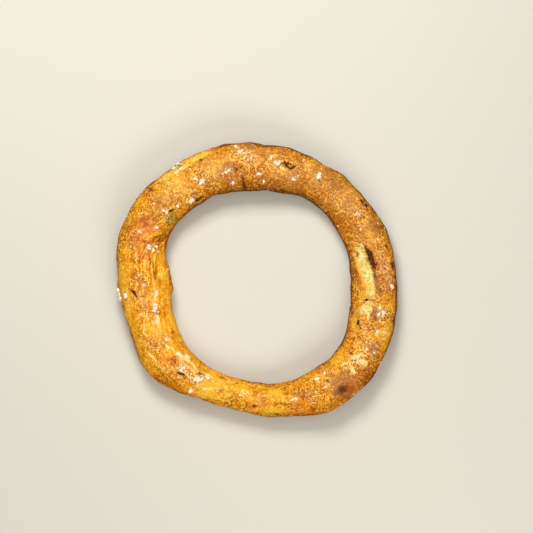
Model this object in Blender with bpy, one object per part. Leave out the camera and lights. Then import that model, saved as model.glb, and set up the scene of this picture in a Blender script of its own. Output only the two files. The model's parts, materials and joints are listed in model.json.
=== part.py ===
"""A crusty bread ring: one rope of dough, rolled by hand, closed into a ring and baked flat.

Metres, +Z up. The ring lies on Z = 0 with its middle at the origin, and +Y is its far side.
A place on the crust is a bearing and a lean, both in degrees:
  bearing  round the ring from +X, anticlockwise as seen from above;
  lean     over the rope from its top, positive to the ring's outside and negative to its hole.
           The rope is widest at 90 either way, and 180 is the middle of its flat base.
Sizes in the tables below are in millimetres.
"""

import math
import random

import bmesh
import bpy
import numpy as np
from mathutils import Matrix, Vector, noise
from mathutils.bvhtree import BVHTree

MM = 0.001

# ---- the rope of dough ----
# Centre line's radius and the rope's width, every STATION_STEP degrees of bearing from 0.
STATION_STEP = 20
ROPE = (
    (104.5, 41.0), (105.0, 39.5), (104.0, 36.5), (103.0, 35.5), (102.0, 41.0), (103.5, 44.0),
    (106.0, 40.5), (109.0, 42.0), (110.0, 44.0), (101.5, 48.0), (102.0, 43.0), (106.5, 42.5),
    (105.0, 31.5), (104.5, 28.0), (110.0, 30.0), (114.5, 39.0), (114.5, 40.5), (109.0, 42.0),
)
RISE_LEAST = 7.0  # the rope's height is this much,
RISE_SHARE = 0.6  # and this share of its width
WIDEST_AT = 0.42  # the widest line's height, as a share of the rope's
SLUMP = 1.35  # how far the lower half would hang below the tray, as a share of its height
FOOT_ROUND = 1.6  # how softly the sides turn into the flat base

# ---- the crust's uneven swell: size of the lumps, and how far they stand out ----
LUMPS = ((34.0, 1.6), (14.0, 1.3))
FREE_ABOVE = 5.0  # the relief dies away towards the tray over this height

# ---- where the crust tore open in the oven: its outer edge, over a wall, and its inner edge ----
TORN_WALL = (
    (-20.5, -13), (-17, -5), (-13, 0), (-8, 3), (-4, 4), (0, 1), (4, -2), (8, -5), (12, -10), (17, -13),
    (23, -29),
)
TORN_FOOT = (
    (-20.5, -17), (-17, -31), (-13, -36), (-9, -27), (-4, -30), (0, -37), (5, -44), (10, -48), (20, -48),
    (23, -36),
)
TORN_DEPTH = 3.2
STRAND = (-9.7, 1.3)  # bearing and half width, in degrees, of the strand left across the tear

# ---- ledges: the crust steps down on the right of each path, and is level again beyond ----
# path, drop, and how far the low side runs
LEDGES = (
    (((138, 64), (133, 49), (127, 42), (120, 43), (113, 49), (106, 66)), 1.8, 11.0),  # far-side seam
    (((148, -66), (152, -47), (156, -32), (160, -18), (164, -4), (168, 10)), 2.8, 13.0),  # the lap
    (((181, -24), (174, -32), (168, -41), (163, -52), (159, -72)), 1.6, 8.0),  # strand under the lap
    (((254, 34), (249, 46), (244, 60), (240, 76), (235, 90)), 1.8, 11.0),  # near-side seam
)
TORN_STATIONS = 22
LEDGE_STATIONS = 12
# Over a hollow: how far from its wall to its foot, and how deep as a share of the drop.
HOLLOW_SECTION = ((-0.03, 0.9), (0.12, 1.0), (0.4, 0.85), (0.75, 0.5))
CLEAR = 0.4  # a cutter's foot stands off the crust by this much,
LID = 3.0  # and its lid by this

# ---- ridges: path, rise, width ----
RIDGES = (
    (((-20, -3), (-8, 11), (0, 9), (8, 4), (14, -2), (20, -12)), 1.0, 5.0),  # the tear's curled lip
    (((165, 18), (160, -6), (154, -30), (148, -58)), 0.9, 7.0),  # the lapping end
    (((212, -20), (222, -25), (236, -18)), 0.8, 5.0),
    (((226, 13), (236, 4)), 0.7, 5.0),
)

# ---- swells and hollows: bearing, lean, length, width, rise ----
SWELLS = (
    (186, -84, 9, 7, 2.0),
    (216, -84, 6, 6, 1.2),
    (126, -35, 6, 6, 0.8),
    (151, 9, 12, 8, 0.8),
    (320, 8, 20, 12, 0.8),
    (144, -47, 13, 8, -1.9),
    (98, -48, 4, 22, -1.7),
    (101, -4, 4, 8, -0.8),
    (172, 38, 12, 9, -0.7),
    (278, 55, 18, 8, -1.3),
)

# ---- slits and burst bubbles: bearing, lean, length, width, depth, turn from the rope's run ----
SLITS = (
    (11.5, -2, 19, 4.4, 3.4, -16),
    (72.1, 12.5, 8, 2.8, 2.6, -39),
    (75.6, 17.5, 10, 2.8, 2.8, 49),
    (140.8, -29, 8, 1.9, 3.2, 26),
    (185.8, 25, 9, 2.0, 3.2, -35),
    (230.2, 7, 7.5, 1.9, 3.0, -12),
    (238.6, -27, 8, 2.2, 2.4, -25),
    (337.0, -31, 7, 3.0, 2.6, -38),
    (36.0, 54, 11, 2.8, 2.0, 28),
    (278.0, 56, 7, 1.8, 2.0, -18),
    (125.3, -57, 9, 3.0, 2.8, 6),
)

# ---- lumps of flour baked on: bearing, lean, size ----
FLOUR_LUMPS = (
    (59.4, 17, 3.4), (59.8, 26, 2.8), (80.2, 12, 3.6), (81.2, 15, 2.6), (83.5, 27, 2.6),
    (70.4, -18, 2.8), (89.0, -17, 3.2), (86.5, -36, 2.4), (99.3, 57, 2.6), (97.9, 37, 3.0),
    (96.8, 41, 2.2), (106.1, -8, 2.6), (104.4, -5, 2.2), (104.0, -36, 3.0), (118.7, -11, 3.2),
    (120.3, -13, 2.6), (121.5, 3, 2.6), (124.3, 50, 3.2), (127.2, 44, 3.0), (124.2, 74, 3.0),
    (126.8, 73, 2.6), (128.9, -44, 3.2), (130.4, -45, 2.8), (143.3, -11, 2.6), (143.2, -21, 2.6),
    (137.0, -31, 2.2), (152.3, -22, 2.4), (157.2, 13, 2.2), (162.0, -19, 2.8), (163.5, -21, 2.4),
    (163.6, -33, 2.8), (161.4, -42, 2.4), (182.2, 2, 2.4), (186.6, 50, 3.6), (186.2, -25, 2.8),
    (187.8, -24, 3.0), (183.8, 79, 3.4), (185.6, 77, 3.0), (187.4, 78, 3.6), (193.4, -20, 2.8),
    (195.1, -19, 2.8), (196.3, -13, 2.8), (202.2, -14, 2.4), (212.8, -20, 2.6), (222.7, -27, 3.4),
    (224.2, -26, 2.6), (227.4, -40, 2.4), (229.8, -12, 2.6), (229.3, -5, 2.2), (237.8, -2, 3.8),
    (239.2, -4, 3.4), (240.4, -10, 3.0), (242.5, -27, 3.4), (238.8, 40, 3.4), (301.3, -33, 3.0),
    (306.0, -38, 2.6), (286.4, -2, 2.2), (288.1, -3, 2.4), (357.6, 50, 3.6), (336.8, 20, 2.8),
    (345.8, 26, 3.0), (344.6, 14, 2.6), (347.5, 15, 2.4),
)
FLOUR_SEED = 7
FLOUR_PROUD = 0.2  # how far a lump's middle stands off the crust, as a share of its size

# ---- the mesh ----
STATIONS = 138
TOP_LINES = 22  # lines over the rope, down to where its sides turn under
TURN_UNDER = 128
FLAT_LEANS = (147, 180, 213)
SLIT_SIDES = 10
SLIT_RINGS = 6


def rope_at(bearing):
    """The centre line's radius and the rope's width at a bearing, on a smooth closed curve."""
    table = np.array(ROPE)
    place = np.asarray(bearing, float) % 360 / STATION_STEP
    first = np.floor(place).astype(int)
    part = (place - first)[..., None]
    before, here, after, beyond = (table[(first + k) % len(table)] for k in (-1, 0, 1, 2))
    bend = 2 * before - 5 * here + 4 * after - beyond
    turn = 3 * (here - after) + beyond - before
    value = here + 0.5 * part * (after - before + part * (bend + part * turn))
    return value[..., 0], value[..., 1]


def smooth_rope(bearing, lean):
    """Points on the rope before its relief, and the way out of the crust there."""
    radius, width = rope_at(bearing)
    height = RISE_LEAST + RISE_SHARE * width
    widest = WIDEST_AT * height
    round_it, over = np.radians(bearing), np.radians(lean)
    top = np.cos(over) >= 0
    reach = np.where(top, height - widest, widest * SLUMP)
    out = width / 2 * np.sin(over)
    level = widest + reach * np.cos(over)
    blend = np.clip((level + FOOT_ROUND) / (2 * FOOT_ROUND), 0, 1)
    level = np.where(level < FOOT_ROUND, FOOT_ROUND * blend**2, level)
    point = np.stack([(radius + out) * np.cos(round_it), (radius + out) * np.sin(round_it), level], -1)
    sideways, upward = reach * np.sin(over), width / 2 * np.cos(over)
    length = np.hypot(sideways, upward)
    sideways, upward = sideways / length, upward / length
    way_out = np.stack([sideways * np.cos(round_it), sideways * np.sin(round_it), upward], -1)
    return point, way_out


def flat_place(bearing, lean, middle):
    """Millimetres along the rope from a middle bearing, and across it from its top."""
    radius, width = rope_at(bearing)
    turned = (np.asarray(bearing, float) - middle + 180) % 360 - 180
    along = np.radians(turned) * (radius + width / 2 * np.sin(np.radians(lean)))
    across = np.radians(lean) * rope_radius(bearing)
    return along, across


def rope_radius(bearing):
    width = rope_at(bearing)[1]
    return (width / 2 + (RISE_LEAST + RISE_SHARE * width) * (1 - WIDEST_AT)) / 2


def ease(value):
    value = np.clip(value, 0, 1)
    return value * value * (3 - 2 * value)


def lumps(points):
    total = np.zeros(len(points))
    for size, rise in LUMPS:
        total += [rise * noise.noise(Vector(point) / size) for point in points]
    return total


def ridge(bearing, lean, path, rise, width):
    """A rounded ridge along a path of bearings and leans, dying away at its ends."""
    middle = path[len(path) // 2][0]
    along, across = flat_place(bearing, lean, middle)
    corners = [flat_place(float(b), float(o), middle) for b, o in path]
    nearest = np.full(along.shape, np.inf)
    share = np.zeros(along.shape)
    for index, ((x0, y0), (x1, y1)) in enumerate(zip(corners, corners[1:])):
        run, climb = x1 - x0, y1 - y0
        part = np.clip(((along - x0) * run + (across - y0) * climb) / (run**2 + climb**2), 0, 1)
        gap = np.hypot(along - x0 - part * run, across - y0 - part * climb)
        share = np.where(gap < nearest, (index + part) / (len(path) - 1), share)
        nearest = np.minimum(nearest, gap)
    return rise * (1 - np.abs(2 * share - 1) ** 3) * np.exp(-4 * (nearest / width) ** 2)


def swell(bearing, lean, centre_bearing, centre_lean, length, width, rise):
    along, across = flat_place(bearing, lean, centre_bearing)
    across = across - np.radians(centre_lean) * rope_radius(bearing)
    return rise * np.exp(-4 * ((along / length) ** 2 + (across / width) ** 2))


def crust(bearing, lean):
    """Points of the finished crust, in millimetres, with the way out of it."""
    bearing, lean = np.broadcast_arrays(np.asarray(bearing, float), np.asarray(lean, float))
    bearing, lean = bearing.ravel(), lean.ravel()
    point, way_out = smooth_rope(bearing, lean)
    relief = lumps(point)
    relief += sum(ridge(bearing, lean, *line) for line in RIDGES)
    relief += sum(swell(bearing, lean, *place) for place in SWELLS)
    free = ease(point[:, 2] / FREE_ABOVE)
    point = point + way_out * (relief * free)[:, None]
    point[:, 2] = np.maximum(point[:, 2], 0)
    return point, way_out


def rope_mesh():
    """The rope as a closed net of quads."""
    leans = np.concatenate([np.linspace(-TURN_UNDER, TURN_UNDER, TOP_LINES + 1), FLAT_LEANS])
    bearings = np.arange(STATIONS) * 360 / STATIONS
    signed = (leans + 180) % 360 - 180
    points, _ = crust(np.repeat(bearings, len(leans)), np.tile(signed, STATIONS))
    net = bmesh.new()
    verts = [net.verts.new(point) for point in points * MM]
    lines = len(leans)
    for station in range(STATIONS):
        for line in range(lines):
            near, far = station * lines, (station + 1) % STATIONS * lines
            following = (line + 1) % lines
            net.faces.new([verts[k] for k in (near + line, far + line, far + following, near + following)])
    bmesh.ops.recalc_face_normals(net, faces=net.faces)
    bmesh.ops.triangulate(net, faces=net.faces)
    mesh = bpy.data.meshes.new("bread_ring")
    net.to_mesh(mesh)
    net.free()
    return mesh


def standing_on(bearing, lean, turn):
    """A frame on the crust: its X along the rope, turned, and its Z out of the crust."""
    point, way_out = crust(bearing, lean)
    up = Vector(way_out[0])
    run = Vector((-math.sin(math.radians(bearing)), math.cos(math.radians(bearing)), 0))
    over = up.cross(run).normalized()
    frame = Matrix((run, over, up)).transposed().to_4x4()
    # The rope's run, its outward side and the way out are left-handed, so the turn is negative.
    frame = frame @ Matrix.Rotation(math.radians(-turn), 4, "Z")
    frame.translation = Vector(point[0]) * MM
    return frame


def helper(name, mesh, frame, collection):
    thing = bpy.data.objects.new(name, mesh)
    thing.matrix_world = frame
    thing.hide_render = True
    thing.display_type = "WIRE"
    collection.objects.link(thing)


def along_path(path, count):
    """Bearings and leans evenly along a path."""
    path = np.array(path, float)
    gone = np.concatenate([[0], np.cumsum(np.hypot(*np.diff(path, axis=0).T))])
    spots = np.linspace(0, gone[-1], count)
    return np.stack([np.interp(spots, gone, path[:, 0]), np.interp(spots, gone, path[:, 1])], -1)


def beside(path, distance):
    """A path's stations moved to its right, over the crust."""
    radius, girth = rope_at(path[:, 0])[0], rope_radius(path[:, 0])
    run = np.gradient(np.radians(path[:, 0])) * radius
    climb = np.gradient(np.radians(path[:, 1])) * girth
    length = np.hypot(run, climb)
    bearing = path[:, 0] + np.degrees(distance * climb / length / radius)
    return np.stack([bearing, path[:, 1] - np.degrees(distance * run / length / girth)], -1)


def hollow_cutter(name, wall, foot, depth, collection):
    """What is missing between a steep wall and the foot where the floor comes up to the crust."""
    stations = len(wall)
    ends = ease(3 * (1 - np.abs(np.linspace(-1, 1, stations))))
    reach = (0.25 + 0.75 * ends)[:, None] * (foot - wall)
    strand = 1 - 0.75 * np.exp(-(((wall[:, 0] - STRAND[0]) / STRAND[1]) ** 2))
    levels, shares = [], []
    for share, deep in HOLLOW_SECTION:
        shares.append(share)
        levels.append(CLEAR - (depth * deep + CLEAR) * ends * strand)
    for share in (1.0, 1.0, 0.7, 0.35, -0.03):
        levels.append(np.full(stations, CLEAR if len(shares) == len(HOLLOW_SECTION) else LID))
        shares.append(share)
    net = bmesh.new()
    lines = []
    for share, level in zip(shares, levels):
        place = wall + share * reach
        point, way_out = crust(place[:, 0], place[:, 1])
        lines.append([net.verts.new(spot) for spot in (point + way_out * level[:, None]) * MM])
    for line, following in zip(lines, lines[1:] + lines[:1]):
        for k in range(stations - 1):
            net.faces.new([line[k], line[k + 1], following[k + 1], following[k]])
    for end in (0, -1):
        net.faces.new([line[end] for line in lines])
    bmesh.ops.recalc_face_normals(net, faces=net.faces)
    bmesh.ops.triangulate(net, faces=net.faces)
    mesh = bpy.data.meshes.new(name)
    net.to_mesh(mesh)
    net.free()
    helper(name, mesh, Matrix(), collection)


def hollow_cutters():
    group = bpy.data.collections.new("hollow_cutters")
    wall = along_path(TORN_WALL, TORN_STATIONS)
    turned = [np.interp(wall[:, 0], *zip(*TORN_FOOT))]
    foot = np.stack([wall[:, 0], *turned], -1)
    hollow_cutter("tear", wall, foot, TORN_DEPTH, group)
    for index, (path, drop, run) in enumerate(LEDGES):
        wall = along_path(path, LEDGE_STATIONS)
        hollow_cutter(f"ledge_{index}", wall, beside(wall, run), drop, group)
    return group


def slit_cutters():
    """Pointed ovals set into the crust, one for each slit."""
    group = bpy.data.collections.new("slit_cutters")
    for index, (bearing, lean, length, width, depth, turn) in enumerate(SLITS):
        net = bmesh.new()
        bmesh.ops.create_uvsphere(net, u_segments=SLIT_SIDES, v_segments=SLIT_RINGS, radius=1.0)
        for vert in net.verts:
            vert.co.y *= 1 - 0.5 * vert.co.x**2
        bmesh.ops.scale(net, vec=Vector((length / 2, width / 2, depth)) * MM, verts=net.verts)
        bmesh.ops.triangulate(net, faces=net.faces)
        mesh = bpy.data.meshes.new(f"slit_{index}")
        net.to_mesh(mesh)
        net.free()
        helper(mesh.name, mesh, standing_on(bearing, lean, turn), group)
    return group


def flour_lumps(body):
    """Small knobbly lumps, each seated on the body and shaped by a seeded draw."""
    draw = random.Random(FLOUR_SEED)
    surface = BVHTree.FromPolygons(
        [vert.co for vert in body.data.vertices], [face.vertices for face in body.data.polygons]
    )
    group = bpy.data.collections.new("flour_lumps")
    for index, (bearing, lean, size) in enumerate(FLOUR_LUMPS):
        net = bmesh.new()
        bmesh.ops.create_icosphere(net, subdivisions=1, radius=size / 2 * MM)
        for vert in net.verts:
            vert.co *= draw.uniform(0.8, 1.15)
            vert.co.z *= 0.8
        mesh = bpy.data.meshes.new(f"flour_{index}")
        net.to_mesh(mesh)
        net.free()
        frame = standing_on(bearing, lean, draw.uniform(0, 360))
        up = frame.to_3x3().col[2].normalized()
        seat = surface.ray_cast(frame.translation + up * 8 * MM, -up)[0]
        frame.translation = seat + up * FLOUR_PROUD * size * MM
        helper(mesh.name, mesh, frame, group)
    return group


def join(body, group, operation):
    """Joins a collection to the body, or cuts it away, for good, and clears the collection."""
    bpy.context.scene.collection.children.link(group)
    modifier = body.modifiers.new(operation.title(), "BOOLEAN")
    modifier.operation = operation
    modifier.operand_type = "COLLECTION"
    modifier.collection = group
    modifier.solver = "MANIFOLD"
    graph = bpy.context.evaluated_depsgraph_get()
    finished = bpy.data.meshes.new_from_object(body.evaluated_get(graph))
    body.modifiers.clear()
    body.data = finished
    for thing in list(group.objects):
        bpy.data.objects.remove(thing)
    bpy.data.collections.remove(group)


def golden_crust():
    material = bpy.data.materials.new("golden_crust")
    material.use_nodes = True
    shader = material.node_tree.nodes["Principled BSDF"]
    shader.inputs["Base Color"].default_value = (0.66, 0.29, 0.045, 1)
    shader.inputs["Roughness"].default_value = 0.55
    return material


def main():
    for thing in list(bpy.data.objects):
        bpy.data.objects.remove(thing)
    bread = bpy.data.objects.new("bread_ring", rope_mesh())
    bpy.context.scene.collection.objects.link(bread)
    join(bread, hollow_cutters(), "DIFFERENCE")
    join(bread, slit_cutters(), "DIFFERENCE")
    join(bread, flour_lumps(bread), "UNION")
    bread.data.name = bread.name
    bread.data.materials.clear()
    bread.data.materials.append(golden_crust())
    bread.data.shade_smooth()
    bread.data.set_sharp_from_angle(angle=math.radians(50))


main()
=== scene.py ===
"""The looks of a crusty bread ring: its blistered crust, torn crumb, scorched spots and flour.

A place on the crust is a bearing and a lean, both in degrees:
  bearing  round the ring from +X, anticlockwise as seen from above;
  lean     over the rope from its top, positive to the ring's outside and negative to its hole.
           The rope is widest at 90 either way, and 180 is the middle of its flat base.
Sizes of the rope and its marks are in millimetres. Those of noise, studio and settings are
in metres.
"""

import json
import math

import bpy
import numpy as np
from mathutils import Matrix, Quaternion, Vector, noise

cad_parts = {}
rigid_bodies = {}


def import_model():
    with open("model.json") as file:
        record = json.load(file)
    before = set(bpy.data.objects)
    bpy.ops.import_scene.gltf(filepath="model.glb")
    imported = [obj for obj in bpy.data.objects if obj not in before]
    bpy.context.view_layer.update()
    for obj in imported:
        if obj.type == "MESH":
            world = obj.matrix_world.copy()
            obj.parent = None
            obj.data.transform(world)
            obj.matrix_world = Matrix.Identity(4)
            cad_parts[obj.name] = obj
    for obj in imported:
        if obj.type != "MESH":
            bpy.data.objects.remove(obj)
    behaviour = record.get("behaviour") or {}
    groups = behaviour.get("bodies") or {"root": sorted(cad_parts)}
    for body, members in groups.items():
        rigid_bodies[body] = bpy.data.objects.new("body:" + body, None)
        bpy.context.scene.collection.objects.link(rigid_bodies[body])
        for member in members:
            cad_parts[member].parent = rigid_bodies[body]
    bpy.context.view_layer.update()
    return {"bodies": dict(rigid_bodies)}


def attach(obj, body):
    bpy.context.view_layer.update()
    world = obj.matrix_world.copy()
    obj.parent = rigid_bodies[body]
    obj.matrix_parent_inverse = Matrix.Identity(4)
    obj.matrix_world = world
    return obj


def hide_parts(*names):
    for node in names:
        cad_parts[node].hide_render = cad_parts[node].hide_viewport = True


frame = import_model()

NODE = "bread_ring"
BODY = sorted(frame["bodies"])[0]

bl_info = {
    "name": "Bread ring",
    "version": (1, 0, 0),
    "blender": (4, 5, 0),
    "location": "3D View > Sidebar > Bread ring",
    "description": "Builds a crusty, flour-dusted bread ring and its studio",
    "category": "Object",
}

MM = 0.001

# ---- the rope of dough, as in the part ----
STATION_STEP = 20  # degrees from row to row
ROPE = (  # the centre line's radius, the rope's width
    (104.5, 41.0), (105.0, 39.5), (104.0, 36.5), (103.0, 35.5), (102.0, 41.0), (103.5, 44.0),
    (106.0, 40.5), (109.0, 42.0), (110.0, 44.0), (101.5, 48.0), (102.0, 43.0), (106.5, 42.5),
    (105.0, 31.5), (104.5, 28.0), (110.0, 30.0), (114.5, 39.0), (114.5, 40.5), (109.0, 42.0),
)
RISE_LEAST = 7.0  # the rope's height is this and a share of its width
RISE_SHARE = 0.6
WIDEST_AT = 0.42  # its widest line, as a share of its height
SLUMP = 1.35  # how far it bulges down from that line, as a share of the line's height
FOOT_ROUND = 1.6  # how rounded its foot is
LUMPS = ((34.0, 1.6), (14.0, 1.3))  # its broad lumps: size, rise
FREE_ABOVE = 5.0  # relief fades out below this height, so the base stays flat

# ---- the long tear: its outer edge, over a wall, and its inner edge ----
TORN_WALL = (  # bearing, lean
    (-20.5, -12), (-17.5, -7), (-15, -4), (-12, -1), (-8, 3), (-4, 4), (0, 1), (4, -2), (8, -5), (12, -10),
    (17, -13), (20, -18), (22.6, -42),
)
TORN_FOOT = (
    (-20.5, -17), (-18.5, -24), (-16.5, -33), (-14.5, -37), (-12, -30), (-9, -23), (-4, -26), (0, -35),
    (5, -43), (10, -49), (15.6, -57), (20, -54), (22.6, -52),
)
TORN_DEPTH = 3.2
TORN_TAPER = 13  # millimetres over which it closes at each end
CRUMB_EDGE = 0.8  # millimetres over which crust gives way to crumb
STRAND = (-9.6, 2.6, 1.3)  # a strand across the tear: bearing at the wall, slant to the foot, half width
WANDER = ((0.9, 4.5, 7.0), (0.5, 1.9, 3.0))  # how far its edge wanders, over what size, by which noise

# ---- ledges: path, drop, how far the low side runs, how pale it is, how dark the painted shade on its wall is ----
LEDGES = (
    (((138, 64), (133, 49), (127, 42), (120, 43), (113, 49), (106, 66)), 1.8, 11.0, 0.9, 0.1),
    (((148, -66), (152, -50), (156, -36), (159, -24), (162, -12), (165, 2)), 2.2, 13.0, 0.0, 0.2),
    (((181, -24), (174, -32), (168, -41), (163, -52), (159, -72)), 1.6, 8.0, 0.0, 0.5),
    (((254, 34), (249, 46), (244, 60), (240, 76), (235, 90)), 2.0, 11.0, 0.0, 1.0),
)
LEDGE_WALL = 1.5  # width of the painted shade along the wall
HOLLOW_SHARES = (-0.03, 0.01, 0.12, 0.4, 0.75, 1.0)  # across a tear or a ledge, from its wall,
HOLLOW_DEPTHS = (0.0, 0.9, 1.0, 0.85, 0.5, 0.0)  # how deep it is

# ---- ridges: path, rise, width ----
RIDGES = (
    (((-20, -3), (-8, 11), (0, 9), (8, 4), (14, -2), (20, -12)), 1.0, 5.0),
    (((165, 18), (160, -6), (154, -30), (148, -58)), 0.9, 7.0),
    (((212, -20), (222, -25), (236, -18)), 0.8, 5.0),
    (((226, 13), (236, 4)), 0.7, 5.0),
)

# ---- swells and hollows: bearing, lean, length, width, rise ----
SWELLS = (
    (186, -84, 9, 7, 2), (216, -84, 6, 6, 1.2), (126, -35, 6, 6, 0.8), (151, 9, 12, 8, 0.8),
    (320, 8, 20, 12, 0.8), (144, -47, 13, 8, -1.9), (98, -48, 4, 22, -1.7), (101, -4, 4, 8, -0.8),
    (172, 38, 12, 9, -0.7), (278, 55, 18, 8, -1.3),
)
SWELL_FADE = 4  # how fast a swell or a ridge sinks away to its sides

# ---- slits and burst bubbles: bearing, lean, length, width, depth, turn from the rope's run ----
SLITS = (
    (11.5, -3, 23, 5.8, 3.4, -13), (72.6, 13, 9, 1.5, 1.3, -39), (76.2, 15.5, 11, 1.6, 1.4, 47),
    (140.8, -29, 8, 1.6, 2.6, 24), (185.6, 27, 9.5, 2.6, 3.2, -33), (230.2, 7, 8, 2.2, 3, -12),
    (238.9, -28, 7, 1, 0.9, -12), (337.5, -33, 6, 2.6, 2.4, -8), (335.3, -23, 3, 1.6, 0.8, 30),
    (35.8, 51, 13, 3.4, 1.6, 4), (278, 56, 7, 1.8, 2, -18), (125.3, -56, 11, 3.6, 2.8, 4),
    (349.4, -23, 7, 1.4, 1.6, 40), (74.4, 9.5, 8, 1.3, 1, 4), (78.2, 16, 6, 1.1, 0.9, -30),
    (75.4, 17.5, 6, 1.1, 0.9, 80), (73.6, 17, 6, 1, 0.8, 20), (98.3, -1, 5, 0.9, 0.6, -35),
    (101, -3, 5, 0.9, 0.6, 48), (187.6, 9, 8, 0.8, 0.6, -78), (323, 2, 6, 0.8, 0.8, -4),
    (237.6, -20, 6, 0.7, 0.6, -12), (155.1, -39, 14, 0.9, 0.8, 48), (157.1, -47, 15, 1, 0.9, 39),
    (158.6, -53, 15, 0.9, 0.8, 40), (160.5, -59, 9, 0.8, 0.7, 53),
)
SLIT_STEEPNESS = 1.6  # how fast its walls drop
RIM_RISE = 0.35  # how far its rim curls up
FAR_OUTSIDE = -3.0  # the least that a place can be inside a slit

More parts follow.
